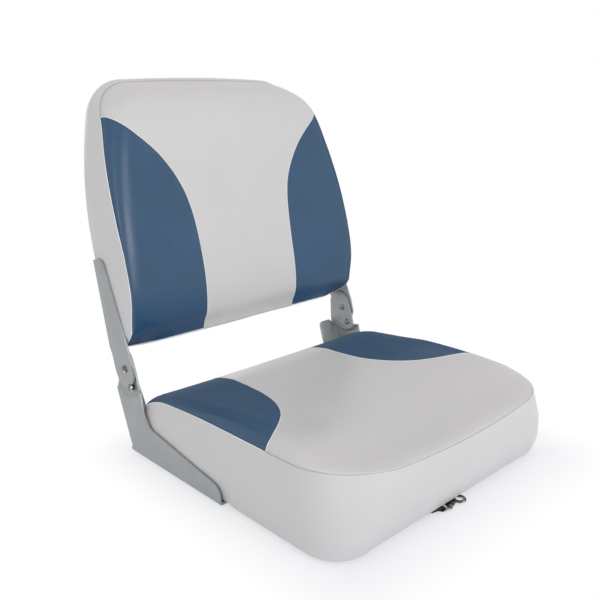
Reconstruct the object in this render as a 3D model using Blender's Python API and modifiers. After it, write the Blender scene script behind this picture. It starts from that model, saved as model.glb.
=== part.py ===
"""Folding boat seat: a padded seat and a padded back, joined by two pressed steel hinges.

The seat stands on the ribbed foot of its moulded base. +Z is up, the sitter faces -Y, and
+X is the sitter's left. The origin is the centre of the pedestal pad on the base's underside.
The back folds forward about an axis along X through both pivot rivets. Lengths are metres.
"""

import math

import bmesh
import bpy
from mathutils import Matrix, Vector

# General clearances and sheet sizes
GAP = 0.0003  # running clearance between pieces that touch
OVERRUN = 0.02  # how far a cutter runs past what it cuts
SKIN = 0.0012  # vinyl thickness
SKIN_ROOM = SKIN + GAP  # from a cushion's outer surface to its foam or board

# Half the room between the two hinges, which both cushions' widths follow
WEB_INNER = 0.2055
SHEET = 0.0025  # pressed steel

# Cushion seams, alike on seat and back
SEAM_GROOVE = 0.0008  # how deep the stitched seam draws in
SEAM_LIP = 0.0018  # boxing below the seam that the groove takes
EDGE_FIRST = 0.0025  # first face ring inside the seam
EDGE_SECOND = 0.008
EDGE_WIDTH = 0.027  # how far inside the seam the padded edge is full
CREST_SHARE = 0.16  # how far along a ridge's crest is rounded
FACE_RING_SHARES = (0.82, 0.55, 0.25)  # face rings inside the edge, as shares toward the centre
BOXING_RING_SHARES = (0.45,)  # rings up the boxing, above the board
BOXING_SAG_SHARE = 0.85  # below 1 the boxing bulges nearer its lower edge
BOXING_FULL = 0.030  # boxing of this height or more has its whole bulge
INSERT_INSET = 0.0024  # insert's outer edge inside the seam
HEM_WIDTH = 0.030
LEAST_CORNER = 0.006  # corner radius that is left where an outline is moved far in

# Counts of segments in half a cushion ring: front, corner, side, corner, rear
RING_COUNTS = (3, 4, 3, 4, 2)
TAPER_POWER_SHARE = 2.0  # above 1 a tapered side starts gently
CORNER_PULL_SHARE = 0.5523  # handle length that makes a cubic curve a quarter circle

# Seat cushion, lower edge and top seam
SEAT_UNDERSIDE = 0.0058  # hem above the surface it stands on
SEAT_ROLL = 0.006
SEAT_BOARD = 0.0105  # thickness of the moulded board
SEAT_LOW_INSET = 0.0035  # lower edge inside the bracket's web
SEAT_LOW_HALF = WEB_INNER - SEAT_LOW_INSET
SEAT_LOW_FRONT = 0.177
SEAT_LOW_REAR = 0.183
SEAT_LOW_CORNER = 0.047
SEAT_SEAM_INSET = 0.006
SEAT_SEAM_HALF = WEB_INNER - SEAT_SEAM_INSET
SEAT_FRONT_LEAN = 0.0175  # how far the top seam runs past the lower edge
SEAT_SEAM_FRONT = SEAT_LOW_FRONT + SEAT_FRONT_LEAN
SEAT_REAR_LEAN = 0.0
SEAT_SEAM_REAR = SEAT_LOW_REAR - SEAT_REAR_LEAN
SEAT_SEAM_FRONT_CORNER = 0.077
SEAT_SEAM_REAR_CORNER = 0.028
SEAT_FRONT_BOW = 0.020
SEAT_REAR_BOW = 0.003
SEAT_SIDE_BULGE = 0.0035
SEAT_END_BULGE = 0.0095
SEAT_SEAM_HEIGHT = 0.097
SEAT_SEAM_FRONT_DROP = 0.005
SEAT_SEAM_REAR_DROP = 0.031
SEAT_FACE_HEIGHT = 0.090
SEAT_FRONT_CROWN = 0.008
SEAT_FRONT_CROWN_REACH = 0.045
SEAT_RIDGE = 0.024  # side ridges over the dished middle
SEAT_RIDGE_SPREAD_SHARE = 0.917
SEAT_RIDGE_HALF = SEAT_SEAM_HALF * SEAT_RIDGE_SPREAD_SHARE
SEAT_RIDGE_POWER_SHARE = 2.3
# Along the seat from front seam (0) to rear seam (1): seam height and ridge height, as shares
SEAT_SEAM_FRONT_SHARES = ((0.0, 1.0), (0.08, 0.9), (0.33, 0.0), (1.0, 0.0))
SEAT_SEAM_REAR_SHARES = (
    (0.0, 0.0), (0.6, 0.03), (0.78, 0.14), (0.87, 0.26), (0.93, 0.52), (0.98, 0.89), (1.0, 1.0),
)
SEAT_RIDGE_SHARES = (
    (0.000, 0.1), (0.136, 0.54), (0.233, 0.86), (0.330, 1.0), (0.544, 0.98),
    (0.680, 0.68), (0.767, 0.50), (0.893, 0.25), (0.971, 0.0),
)
# Inner edge of the navy corner insert: half-width share, then share from front seam to rear seam
SEAT_INSERT_SHARES = (
    (1.098, 0.266), (1.000, 0.303), (0.937, 0.332), (0.852, 0.374), (0.747, 0.424),
    (0.639, 0.481), (0.564, 0.536), (0.506, 0.597), (0.464, 0.674), (0.446, 0.780),
    (0.445, 0.913), (0.447, 1.085),
)

# Hinge: pivot axis over the seat, and the lean of the open back
PIVOT_BACK = 0.2001
PIVOT_HEIGHT = 0.1166
RECLINE = math.radians(13.5)

# Back cushion, in its own frame: length runs up the back from the pivot, height is to the front
BACK_REAR_FACE = 0.0286
BACK_ROLL = 0.005
BACK_BOARD = 0.005
BACK_BOTTOM = 0.027
BACK_LOW_PROUD = 0.0013  # rear edge past the arm's inner face, held back beside the arm
BACK_LOW_HALF = WEB_INNER + BACK_LOW_PROUD
BACK_LOW_TOP = 0.381
BACK_LOW_BOTTOM_CORNER = 0.024
BACK_LOW_TOP_CORNER = 0.041
BACK_LOW_TAPER = 0.042
BACK_LOW_TAPER_START = 0.165
BACK_SEAM_INSET = 0.0028
BACK_SEAM_HALF = WEB_INNER - BACK_SEAM_INSET
BACK_TOP_LEAN = 0.0045
BACK_SEAM_TOP = BACK_LOW_TOP - BACK_TOP_LEAN
BACK_SEAM_BOTTOM_CORNER = 0.0225
BACK_SEAM_TOP_CORNER = 0.056
BACK_SEAM_TAPER = 0.0355
BACK_SEAM_TAPER_START = 0.165
BACK_TOP_BOW = 0.006
BACK_BOTTOM_BOW = 0.0
BACK_SIDE_BULGE = 0.003
BACK_END_BULGE = 0.003
BACK_SEAM_HEIGHT = 0.0425
BACK_FACE_HEIGHT = 0.0385
BACK_RIDGE = 0.010
BACK_RIDGE_SPREAD_SHARE = 0.918
BACK_RIDGE_HALF = BACK_SEAM_HALF * BACK_RIDGE_SPREAD_SHARE
BACK_RIDGE_POWER_SHARE = 4.0
# Up the back from bottom seam (0) to top seam (1): seam, middle of the face and ridge, as shares
BACK_SEAM_SHARES = (
    (0.000, 0.29), (0.029, 0.52), (0.094, 0.72), (0.152, 0.89), (0.209, 0.98), (0.280, 1.00),
    (0.352, 0.98), (0.423, 0.92), (0.495, 0.85), (0.567, 0.76), (0.638, 0.66), (0.710, 0.56),
    (0.781, 0.47), (0.824, 0.38), (0.853, 0.29), (0.881, 0.18), (0.910, 0.04), (0.944, -0.16),
    (0.973, -0.32), (1.000, -0.42),
)
BACK_FACE_SHARES = (
    (0.0, 0.31), (0.03, 0.48), (0.065, 0.68), (0.12, 0.83), (0.2, 0.935), (0.33, 0.985),
    (0.55, 0.98), (0.77, 1.0), (0.85, 0.9), (0.91, 0.66), (0.96, 0.26), (0.985, -0.1), (1.0, -0.46),
)
BACK_RIDGE_SHARES = ((0.0, 0.0), (0.1, 0.7), (0.2, 1.0), (0.5, 1.0), (0.7, 0.5), (0.9, 0.0), (1.0, 0.0))
BACK_INSERT_SHARES = (
    (0.410, -0.100), (0.410, 0.000), (0.406, 0.160), (0.405, 0.243), (0.413, 0.403), (0.429, 0.478),
    (0.458, 0.542), (0.506, 0.604), (0.565, 0.657), (0.631, 0.704), (0.714, 0.749), (0.802, 0.791),
    (0.878, 0.831), (0.962, 0.881),
)

# Pressed steel hinge, on the +X side: planes of the sheet
WEB_OUTER = WEB_INNER + SHEET
JOGGLE = 0.004
TONGUE_OUTER = WEB_OUTER - JOGGLE
TONGUE_INNER = TONGUE_OUTER - SHEET
BEND = 0.0035  # outside radius of a folded edge
BEND_STEPS = 4

# Lower bracket
BRACKET_NOSE = 0.004  # front end, behind the pad's centre
BRACKET_LENGTH = 0.219
BRACKET_HEIGHT = 0.094
BRACKET_UNDERSIDE = 0.003
BRACKET_FLANGE = 0.030
RECESS_RADIUS = 0.035
RECESS_AHEAD = 0.0036  # recess centre ahead of the pivot and below it
RECESS_DROP = 0.0036
RECESS_SLOPE = 0.0045  # how far the pressed wall leans in
RECESS_LAP = 0.0015
RECESS_STEPS = 36
# Outline of the web: share of length from the nose, share of height, corner radius share of height
BRACKET_OUTLINE_SHARES = (
    (0.0, 0.068, 0.0), (0.0, 0.26, 0.16), (0.10, 0.312, 0.0), (0.655, 0.53, 0.14),
    (0.716, 0.70, 0.0), (0.745, 1.0, 0.02), (1.0, 0.975, 0.0), (0.872, 0.068, 0.0),
)
REAR_FLANGE = 0.0375
REAR_FLANGE_START = 0.007  # along the rear edge, above the foot
REAR_FLANGE_DROP = 0.0015  # below the web's rear top corner
REAR_FLANGE_SHOULDER = 0.012  # from the web to where its top edge starts to fall
REAR_FLANGE_FALL = 0.006
REAR_FLANGE_CORNER = 0.007
REAR_LEG = 0.004
# Tongue, in the back's frame; its front edge as shares of the recess radius
TONGUE_FRONT_SHARE = 0.49
TONGUE_FOOT_FRONT_SHARE = 0.56
TONGUE_TOP = 0.0280
TONGUE_TOP_RADIUS = 0.020
TONGUE_TOP_BACK = 0.0045
TONGUE_STEPS = 10

# Upper arm, in the back's frame
ARM_TOP = 0.1465
ARM_REAR = BACK_REAR_FACE + GAP + SHEET
ARM_FLANGE = 0.023
ARM_FLANGE_BOTTOM = 0.0295
ARM_END_RADIUS = 0.0249
ARM_TOP_FRONT = -0.0056
ARM_TOP_CORNER = 0.013
ARM_FRONT = 0.0196
ARM_LEG = 0.008  # web left on the folded strip, past the bend
# Front and rear edges: share of the arm's top, share of its front edge's reach
ARM_FRONT_SHARES = ((0.232, 0.745), (0.0915, 0.955), (-0.060, 1.0))
ARM_REAR_SHARES = ((-0.033, -1.2), (0.0375, -1.26), (0.139, -1.295), (0.188, -1.42))
ARM_END_FRONT_SHARE = 0.68  # where the end's arc starts, as a share of its radius
ARM_END_REAR_SHARE = 0.75
ARM_END_STEPS = 6

# Rivets, studs, washers and screws
RIVET_SHANK = 0.003
RIVET_HEAD = 0.0055
RIVET_HEAD_HEIGHT = 0.0026
RIVET_TAIL = 0.0048
RIVET_TAIL_HEIGHT = 0.0018
STUD_DROP = 0.0245
STUD_FORWARD = 0.0070
STUD_SHOULDER = 0.0031
STUD_HEAD_HEIGHT = 0.0020
WASHER_RADIUS = 0.009
SCREW_SHANK = 0.002
SCREW_HEAD = 0.0042
SCREW_HEAD_HEIGHT = 0.0023
SCREW_LENGTH = 0.0084
SCREW_HOLE = SCREW_SHANK + GAP
BRACKET_SCREW_SHARES = (0.12, 0.5, 0.88)
ARM_SCREW_SHARES = (0.1, 0.5, 0.9)
SCREW_INSET = 0.011  # screws in from the flange's free edge
TURN_STEPS = 16
ROOM_STEPS = 12  # for the hidden holes of screws

# Moulded base
FOOT_SIDE_ROOM = 0.0555  # foot's side inside the bracket's web
FOOT_HALF = WEB_INNER - FOOT_SIDE_ROOM
FOOT_FRONT = 0.105
FOOT_REAR = 0.142
FOOT_CORNER = 0.016
FOOT_WALL = 0.004
RIB = 0.003
POCKET_TOP = 0.0125
POCKETS_ACROSS = 8
POCKETS_ALONG = 7
PAD_HALF = 0.075
BOLT_PATTERN = 0.127
NUT_RADIUS = 0.005
NUT_BORE = 0.003
NUT_LENGTH = 0.011

# Tie strap under the front edge
STRAP_ANCHOR_SIDE = -0.080
STRAP_ANCHOR_FRONT = 0.1535
STRAP_ANGLE = math.radians(-15)
STRAP_WIDTH = 0.020
STRAP_THICK = 0.0012
STRAP_LENGTH = 0.060  # anchor to the middle of the loop
STRAP_TAIL = 0.012
STRAP_LOOP = 0.002  # radius of the loop's middle line
STRAP_RETURN = 0.018
STRAP_LOOP_STEPS = 8
STRAP_WASHER = 0.007
STRAP_WASHER_THICK = 0.0009
HOOK_THICK = 0.0016
HOOK_HALF = 0.0125
HOOK_BAR = 0.0032
HOOK_BAR_AHEAD = 0.0006  # how far the bar's end passes the loop's middle
HOOK_SLOT = 0.005
HOOK_SHOULDER = 0.003
HOOK_NECK_HALF = 0.0045
HOOK_NECK_AT = 0.021
HOOK_EYE = 0.0085
HOOK_EYE_BORE = 0.0045
HOOK_MOUTH = 0.0055
HOOK_LENGTH = 0.038  # loop's middle to the hook's tip

VINYL_PALE = ("pale_vinyl", (0.66, 0.65, 0.63), 0.45, 0.0)
VINYL_NAVY = ("navy_vinyl", (0.02, 0.06, 0.16), 0.42, 0.0)
FOAM = ("foam", (0.78, 0.72, 0.52), 0.95, 0.0)
BOARD = ("black_plastic", (0.03, 0.03, 0.035), 0.55, 0.0)
COATED_STEEL = ("coated_steel", (0.34, 0.37, 0.38), 0.42, 0.4)
NICKEL = ("nickel", (0.62, 0.6, 0.57), 0.25, 1.0)
BRASS = ("brass", (0.6, 0.45, 0.2), 0.35, 1.0)
WEBBING = ("black_webbing", (0.015, 0.015, 0.017), 0.85, 0.0)

# Columns that turn a flat outline drawn in X and Y, raised along Z, to the plane it lies in
SIDE_PLANE = Matrix(((0, 0, 1, 0), (1, 0, 0, 0), (0, 1, 0, 0), (0, 0, 0, 1)))  # drawn in Y, Z
CROSS_PLANE = Matrix(((1, 0, 0, 0), (0, 0, -1, 0), (0, 1, 0, 0), (0, 0, 0, 1)))  # drawn in X, Z
FLAT_PLANE = Matrix.Identity(4)


# Scene, materials and small helpers


def clear_scene():
    for old in list(bpy.data.objects):
        bpy.data.objects.remove(old, do_unlink=True)


def collection(name):
    made = bpy.data.collections.new(name)
    bpy.context.scene.collection.children.link(made)
    return made


def material(recipe):
    name, colour, roughness, metallic = recipe
    made = bpy.data.materials.get(name) or bpy.data.materials.new(name)
    made.use_nodes = True
    shader = made.node_tree.nodes["Principled BSDF"]
    shader.inputs["Base Color"].default_value = (*colour, 1.0)
    shader.inputs["Roughness"].default_value = roughness
    shader.inputs["Metallic"].default_value = metallic
    return made


def add_object(name, mesh, recipe, parent=None):
    made = bpy.data.objects.new(name, mesh)
    PARTS.objects.link(made)
    made.parent = parent
    if recipe:
        mesh.materials.clear()
        mesh.materials.append(material(recipe))
    return made


def smooth(made, angle=math.radians(32)):
    made.data.shade_smooth()
    made.data.set_sharp_from_angle(angle=angle)


def boolean(made, tool, operation, solver="EXACT"):
    """Adds a Boolean with another object, which becomes a hidden cutter."""
    step = made.modifiers.new(operation.lower(), "BOOLEAN")
    step.operation = operation
    step.solver = solver
    step.object = tool
    tool.hide_render = True
    tool.display_type = "WIRE"
    for holder in list(tool.users_collection):
        holder.objects.unlink(tool)
    CUTTERS.objects.link(tool)


def evaluated_mesh(made):
    bpy.context.view_layer.update()
    graph = bpy.context.evaluated_depsgraph_get()
    return bpy.data.meshes.new_from_object(made.evaluated_get(graph))


def mirrored(made, name):
    """A second piece for the other side: the first one's finished mesh, mirrored across X."""
    mesh = evaluated_mesh(made)
    mesh.name = name
    mesh.transform(Matrix.Scale(-1, 4, Vector((1, 0, 0))))
    mesh.flip_normals()
    twin = bpy.data.objects.new(name, mesh)
    PARTS.objects.link(twin)
    twin.parent = made.parent
    twin.location = (-made.location.x, made.location.y, made.location.z)
    return twin


def joined(name, pieces, recipe=None, parent=None):
    """One object from several separate shapes, as one cutter or group."""
    whole = bmesh.new()
    for piece in pieces:
        mesh = evaluated_mesh(piece)
        mesh.transform(piece.matrix_local)
        whole.from_mesh(mesh)
        bpy.data.objects.remove(piece, do_unlink=True)
    mesh = bpy.data.meshes.new(name)
    whole.to_mesh(mesh)
    whole.free()
    return add_object(name, mesh, recipe, parent)


def interpolate(table, place):
    """A smooth curve through a table of places and values."""
    if place <= table[0][0]:
        return table[0][1]
    if place >= table[-1][0]:
        return table[-1][1]

    def slope(index):
        before = table[max(index - 1, 0)]
        after = table[min(index + 1, len(table) - 1)]
        return (after[1] - before[1]) / (after[0] - before[0])

    right = next(index for index, row in enumerate(table) if row[0] > place)
    left = right - 1
    span = table[right][0] - table[left][0]
    step = (place - table[left][0]) / span
    bend = step * step * (3 - 2 * step)
    leave = step * (1 - step) ** 2 * slope(left) * span
    arrive = -step * step * (1 - step) * slope(right) * span
    return table[left][1] * (1 - bend) + table[right][1] * bend + leave + arrive


def arc(centre, radius, start, end, steps):
    """Points along an arc, angles measured from the first axis toward the second."""
    points = []
    for index in range(steps + 1):
        angle = start + (end - start) * index / steps
        points.append((centre[0] + radius * math.cos(angle), centre[1] + radius * math.sin(angle)))
    return points


def rounded(corners, steps=4):
    """An outline with its corners filleted; each corner is a place and its radius."""
    points = []
    for index, (across, along, radius) in enumerate(corners):
        here = Vector((across, along))
        if radius <= 0:
            points.append(tuple(here))
            continue
        before = (Vector(corners[index - 1][:2]) - here).normalized()
        after = (Vector(corners[(index + 1) % len(corners)][:2]) - here).normalized()
        half = before.angle(after) / 2
        reach = radius / math.tan(half)
        centre = here + (before + after).normalized() * radius / math.sin(half)
        first = here + before * reach - centre
        last = here + after * reach - centre
        turn = first.angle_signed(last)
        for part in range(steps + 1):
            spoke = first.copy()
            spoke.rotate(Matrix.Rotation(-turn * part / steps, 2))
            points.append(tuple(centre + spoke))
    return points


def plate(name, outline, low, high, plane, recipe=None, parent=None):
    """A flat piece: an outline filled as a 2D curve, between two planes, made a mesh."""
    curve = bpy.data.curves.new(name, "CURVE")
    curve.dimensions = "2D"
    curve.fill_mode = "BOTH"
    curve.extrude = abs(high - low) / 2
    path = curve.splines.new("POLY")
    path.points.add(len(outline) - 1)
    for point, (across, along) in zip(path.points, outline):
        point.co = (across, along, 0, 1)
    path.use_cyclic_u = True
    source = bpy.data.objects.new(name, curve)
    PARTS.objects.link(source)
    mesh = evaluated_mesh(source)
    bpy.data.objects.remove(source, do_unlink=True)
    bpy.data.curves.remove(curve)
    shape = bmesh.new()
    shape.from_mesh(mesh)
    bmesh.ops.remove_doubles(shape, verts=shape.verts, dist=GAP / 100)
    bmesh.ops.dissolve_limit(
        shape, angle_limit=math.radians(1), verts=shape.verts, edges=shape.edges
    )
    bmesh.ops.recalc_face_normals(shape, faces=shape.faces)
    shape.to_mesh(mesh)
    shape.free()
    mesh.transform(plane @ Matrix.Translation((0, 0, (low + high) / 2)))
    return add_object(name, mesh, recipe, parent)


def turned(name, profile, recipe=None, parent=None, steps=TURN_STEPS):
    """A turned piece about Z: its outline runs down the outer side, and closes if off the axis."""
    mesh = bpy.data.meshes.new(name)
    corners = [(radius, 0, height) for radius, height in profile]
    edges = [(index, index + 1) for index in range(len(corners) - 1)]
    if profile[0][0] > 0:
        edges.append((len(corners) - 1, 0))
    mesh.from_pydata(corners, edges, [])
    made = add_object(name, mesh, recipe, parent)
    spin = made.modifiers.new("turn", "SCREW")
    spin.steps = steps
    spin.render_steps = steps
    spin.use_merge_vertices = True
    spin.merge_threshold = GAP / 100
    spin.use_smooth_shade = False
    return made


def rod(name, radius, low, high, parent=None, steps=TURN_STEPS):
    return turned(name, ((0, high), (radius, high), (radius, low), (0, low)), None, parent, steps)


def dome(radius, base, height, steps=3):
    """Profile of a domed head above its base plane, from the axis to the rim."""
    rise = []
    for index in range(steps + 1):
        angle = math.pi / 2 * (1 - index / steps)
        rise.append((radius * math.cos(angle), base + height * math.sin(angle)))
    return rise


# Cushions


def side_half(level, along):
    """Half-width of a cushion's outline at a place along it."""
    past = max(0.0, (along - level["taper_start"]) / (level["taper_end"] - level["taper_start"]))
    return level["half"] - level["taper"] * past ** TAPER_POWER_SHARE


def half_outline(level):
    """Points of the +X half of an outline, from front centre round to rear centre."""

    def front(across):
        return level["front"] + level["front_bow"] * (across / level["half"]) ** 2

    def rear(across):
        return level["rear"] - level["rear_bow"] * (across / rear_half) ** 2

    rear_half = side_half(level, level["rear"] - level["rear_corner"] / 2)
    front_start = level["half"] - level["front_corner"]
    front_end = front(level["half"]) + level["front_corner"]
    rear_start = rear(rear_half) - level["rear_corner"]
    rear_end = rear_half - level["rear_corner"]
    counts = RING_COUNTS
    points = []
    for index in range(counts[0]):
        across = front_start * index / counts[0]
        points.append((across, front(across)))
    points += corner_curve(
        (front_start, front(front_start)),
        (level["half"], front(level["half"])),
        (side_half(level, front_end), front_end),
        counts[1],
    )
    for index in range(counts[2]):
        along = front_end + (rear_start - front_end) * index / counts[2]
        points.append((side_half(level, along), along))
    points += corner_curve(
        (side_half(level, rear_start), rear_start),
        (rear_half, rear(rear_half)),
        (rear_end, rear(rear_end)),
        counts[3],
    )
    for index in range(counts[4] + 1):
        across = rear_end * (1 - index / counts[4])
        points.append((across, rear(across)))
    return points


def corner_curve(start, corner, end, count):
    """A corner from start toward end, without its last point."""
    pull = CORNER_PULL_SHARE
    first = [start[axis] + (corner[axis] - start[axis]) * pull for axis in (0, 1)]
    second = [end[axis] + (corner[axis] - end[axis]) * pull for axis in (0, 1)]
    points = []
    for index in range(count):
        step = index / count
        weights = ((1 - step) ** 3, 3 * step * (1 - step) ** 2, 3 * step**2 * (1 - step), step**3)
        places = (start, first, second, end)
        points.append(
            tuple(sum(w * place[axis] for w, place in zip(weights, places)) for axis in (0, 1))
        )
    return points


def whole_ring(half):
    """A closed outline from its half: the other half is its mirror image."""
    return half + [(-across, along) for across, along in reversed(half[1:-1])]


def outward(ring):
    """Unit directions out of a closed outline at each of its points."""
    facing = []
    for index in range(len(ring)):
        before = Vector(ring[index - 1])
        after = Vector(ring[(index + 1) % len(ring)])
        run = (after - before).normalized()
        facing.append(Vector((run.y, -run.x)))
    return facing


def inset(ring, facing, distance):
    return [tuple(Vector(point) - way * distance) for point, way in zip(ring, facing)]


def shrunk(level, distance):
    """The same outline moved in a long way, its corners tightening as they go."""
    smaller = dict(level)
    smaller["half"] = level["half"] - distance
    smaller["front"] = level["front"] + distance
    smaller["rear"] = level["rear"] - distance
    for corner in ("front_corner", "rear_corner"):
        smaller[corner] = max(level[corner] - distance, LEAST_CORNER)
    return whole_ring(half_outline(smaller))


def edge_rise(distance):
    """How full the padded edge is at a distance inside the seam, from 0 to 1."""
    left = 1.0 - min(distance / EDGE_WIDTH, 1.0)
    return math.sqrt(1.0 - left**2)


def crested(share):
    """A share held at 1 past a ridge, with the crest between rounded off."""
    close = max(CREST_SHARE - abs(share - 1.0), 0.0)
    return min(share, 1.0) - close**2 / (4 * CREST_SHARE)


def cushion_rings(shape):
    """Closed rings of points over a cushion's outer surface, from hem to face."""
    low = whole_ring(half_outline(shape["low"]))
    seam = whole_ring(half_outline(shape["seam"]))
    low_out = outward(low)
    seam_out = outward(seam)
    floor = shape["underside"]
    roll = shape["roll"]
    rings = [[(*point, floor) for point in shrunk(shape["low"], roll + HEM_WIDTH)]]
    rings.append([(*point, floor) for point in inset(low, low_out, roll)])
    slant = math.sin(math.radians(45))
    middle = inset(low, low_out, roll * (1 - slant))
    rings.append([(*point, floor + roll * (1 - slant)) for point in middle])
    rings.append([(*point, floor + roll) for point in low])
    heights = [shape["seam_height"](point) for point in seam]
    foot = floor + roll
    board_top = floor + SKIN_ROOM + shape["board"]

    def boxing(levels):
        ring = []
        for base, edge, way, height, level in zip(low, seam, seam_out, heights, levels):
            part = (level - foot) / (height - foot)
            bulge = shape["side_bulge"] + (shape["end_bulge"] - shape["side_bulge"]) * way.y**2
            swell = bulge * math.sin(math.pi * part**BOXING_SAG_SHARE)
            swell *= min(1.0, (height - foot) / BOXING_FULL)
            flat = Vector(base).lerp(Vector(edge), part) + way * swell
            ring.append((*flat, level))
        return ring

    rings.append(boxing([board_top] * len(seam)))
    lips = [height - SEAM_LIP for height in heights]
    for share in BOXING_RING_SHARES:
        rings.append(boxing([board_top + (lip - board_top) * share for lip in lips]))
    rings.append(boxing(lips))
    groove = inset(seam, seam_out, SEAM_GROOVE)
    rings.append([(*point, height) for point, height in zip(groove, heights)])

    def face(points, rise):
        ring = []
        for (across, along), height in zip(points, heights):
            full = shape["face_height"](across, along)
            ring.append((across, along, height + (full - height) * rise))
        return ring

    for distance in (EDGE_FIRST, EDGE_SECOND, EDGE_WIDTH):
        rings.append(face(shrunk(shape["seam"], distance), edge_rise(distance)))
    rim = shrunk(shape["seam"], EDGE_WIDTH)
    middle = Vector((0, shape["middle"]))
    for share in FACE_RING_SHARES:
        rings.append(face([tuple(middle.lerp(Vector(point), share)) for point in rim], 1.0))
    top = (0.0, shape["middle"], shape["face_height"](0.0, shape["middle"]))
    limit = WEB_INNER - GAP
    held = [[(max(-limit, min(limit, x)), y, z) for x, y, z in ring] for ring in rings]
    return held, top


def split_quad(first, second, third, fourth, index, count):
    """A quad as two triangles, split alike on skin and foam and mirrored on the -X half."""
    if index < count // 2:
        return [(first, second, third), (first, third, fourth)]
    return [(first, second, fourth), (second, third, fourth)]


def skin_mesh(name, rings, top):
    """An open surface through the rings, closed at the top by a fan."""
    count = len(rings[0])
    points = [point for ring in rings for point in ring] + [top]
    faces = []
    for level in range(len(rings) - 1):
        for index in range(count):
            after = (index + 1) % count
            base = level * count
            quad = (base + index, base + after, base + count + after, base + count + index)
            faces += split_quad(*quad, index, count)
    last = (len(rings) - 1) * count
    for index in range(count):
        faces.append((last + index, last + (index + 1) % count, len(points) - 1))
    mesh = bpy.data.meshes.new(name)
    mesh.from_pydata(points, [], faces)
    mesh.update()
    return mesh


def offset_rings(mesh, rings, depth):
    """The rings moved inward along the surface's own normals."""
    count = len(rings[0])
    moved = [tuple(point.co - point.normal * depth) for point in mesh.vertices]
    grid = [moved[level * count : (level + 1) * count] for level in range(len(rings))]
    return grid, moved[-1]


def closed_loft(name, rings, top, recipe, parent):
    """A closed solid through rings; the first ring is capped, and the last too if it has no top."""
    count = len(rings[0])
    points = [point for ring in rings for point in ring]
    shape = bmesh.new()
    corners = [shape.verts.new(point) for point in points]
    for level in range(len(rings) - 1):
        for index in range(count):
            after = (index + 1) % count
            base = level * count
            quad = (base + index, base + after, base + count + after, base + count + index)
            for half in split_quad(*quad, index, count):
                shape.faces.new([corners[place] for place in half])
    shape.faces.new([corners[place] for place in reversed(range(count))])
    last = (len(rings) - 1) * count
    if top:
        peak = shape.verts.new(top)
        for index in range(count):
            shape.faces.new((corners[last + index], corners[last + (index + 1) % count], peak))
    else:
        shape.faces.new(corners[last:])
    bmesh.ops.recalc_face_normals(shape, faces=shape.faces)
    mesh = bpy.data.meshes.new(name)
    shape.to_mesh(mesh)
    shape.free()
    return add_object(name, mesh, recipe, parent)


def insert_cutter(name, shape, grow, parent):
    """The room of the +X navy insert: a band's side of the face, kept inside the seam."""
    length = shape["seam"]["rear"] - shape["seam"]["front"]
    edge = []
    for across_share, along_share in shape["insert_shares"]:
        across = shape["seam"]["half"] * across_share
        edge.append((across, shape["seam"]["front"] + length * along_share))
    edge = grown_path(smooth_path(edge), grow)
    far = shape["seam"]["half"] + OVERRUN
    outline = edge + [(far, edge[-1][1]), (far, edge[0][1])]
    low, high = shape["insert_low"], shape["insert_high"]
    band = plate(name + "_band", outline, low, high, FLAT_PLANE, None, parent)
    seam = whole_ring(half_outline(shape["seam"]))
    outer = inset(seam, outward(seam), INSERT_INSET - grow)
    inner = plate(name, outer, low - OVERRUN, high + OVERRUN, FLAT_PLANE, None, parent)
    boolean(inner, band, "INTERSECT")
    return inner


def grown_path(path, distance):
    """A path moved sideways toward the middle of the cushion."""
    moved = []
    for index, point in enumerate(path):
        before = Vector(path[max(index - 1, 0)])
        after = Vector(path[min(index + 1, len(path) - 1)])
        run = (after - before).normalized()
        way = Vector((run.y, -run.x))
        if way.x > 0:
            way.negate()
        moved.append(tuple(Vector(point) + way * distance))
    return moved


def smooth_path(points, steps=2):
    """A path with points added along a smooth curve between the given ones."""
    path = []
    for index in range(len(points) - 1):
        before = Vector(points[max(index - 1, 0)])
        here = Vector(points[index])
        there = Vector(points[index + 1])
        after = Vector(points[min(index + 2, len(points) - 1)])
        leave = (there - before) / 2
        arrive = (after - here) / 2
        for part in range(steps):
            t = part / steps
            spot = here * (2 * t**3 - 3 * t**2 + 1) + leave * (t**3 - 2 * t**2 + t)
            spot += there * (3 * t**2 - 2 * t**3) + arrive * (t**3 - t**2)
            path.append(tuple(spot))
    path.append(tuple(points[-1]))
    return path


def cushion(name, shape, parent):
    """Board, foam, pale cover and two navy inserts of one cushion, in its own frame."""
    rings, top = cushion_rings(shape)
    mesh = skin_mesh(name + "_cover", rings, top)
    inner, inner_top = offset_rings(mesh, rings, SKIN_ROOM)
    board_floor = shape["underside"] + SKIN_ROOM
    board_top = board_floor + shape["board"]
    core = [[(*point[:2], board_floor) for point in inner[1]], *inner[2:]]
    board = closed_loft(shape["board_name"], core, inner_top, BOARD, parent)
    foam = closed_loft(name + "_foam", core, inner_top, FOAM, parent)
    bounds = rounded(around(shape, OVERRUN))
    lower = plate(name + "_board_room", bounds, board_floor - OVERRUN, board_top, FLAT_PLANE)
    upper = plate(
        name + "_foam_room", bounds, board_top + GAP, shape["insert_high"], FLAT_PLANE
    )
    for solid, room in ((board, lower), (foam, upper)):
        room.parent = parent
        boolean(solid, room, "INTERSECT")
    smooth(foam)

    cover = add_object(name + "_cover", mesh, VINYL_PALE, parent)
    solid = cover.modifiers.new("skin", "SOLIDIFY")
    solid.thickness = SKIN
    solid.offset = -1
    smooth(cover)
    insert = add_object(name + "_insert_left", evaluated_mesh(cover), VINYL_NAVY, parent)
    boolean(insert, insert_cutter(name + "_insert_room", shape, 0.0, parent), "INTERSECT")
    mirrored(insert, name + "_insert_right")
    room = insert_cutter(name + "_cover_cut_left", shape, GAP, parent)
    boolean(cover, room, "DIFFERENCE")
    boolean(cover, mirrored(room, name + "_cover_cut_right"), "DIFFERENCE")
    return board, cover


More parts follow.
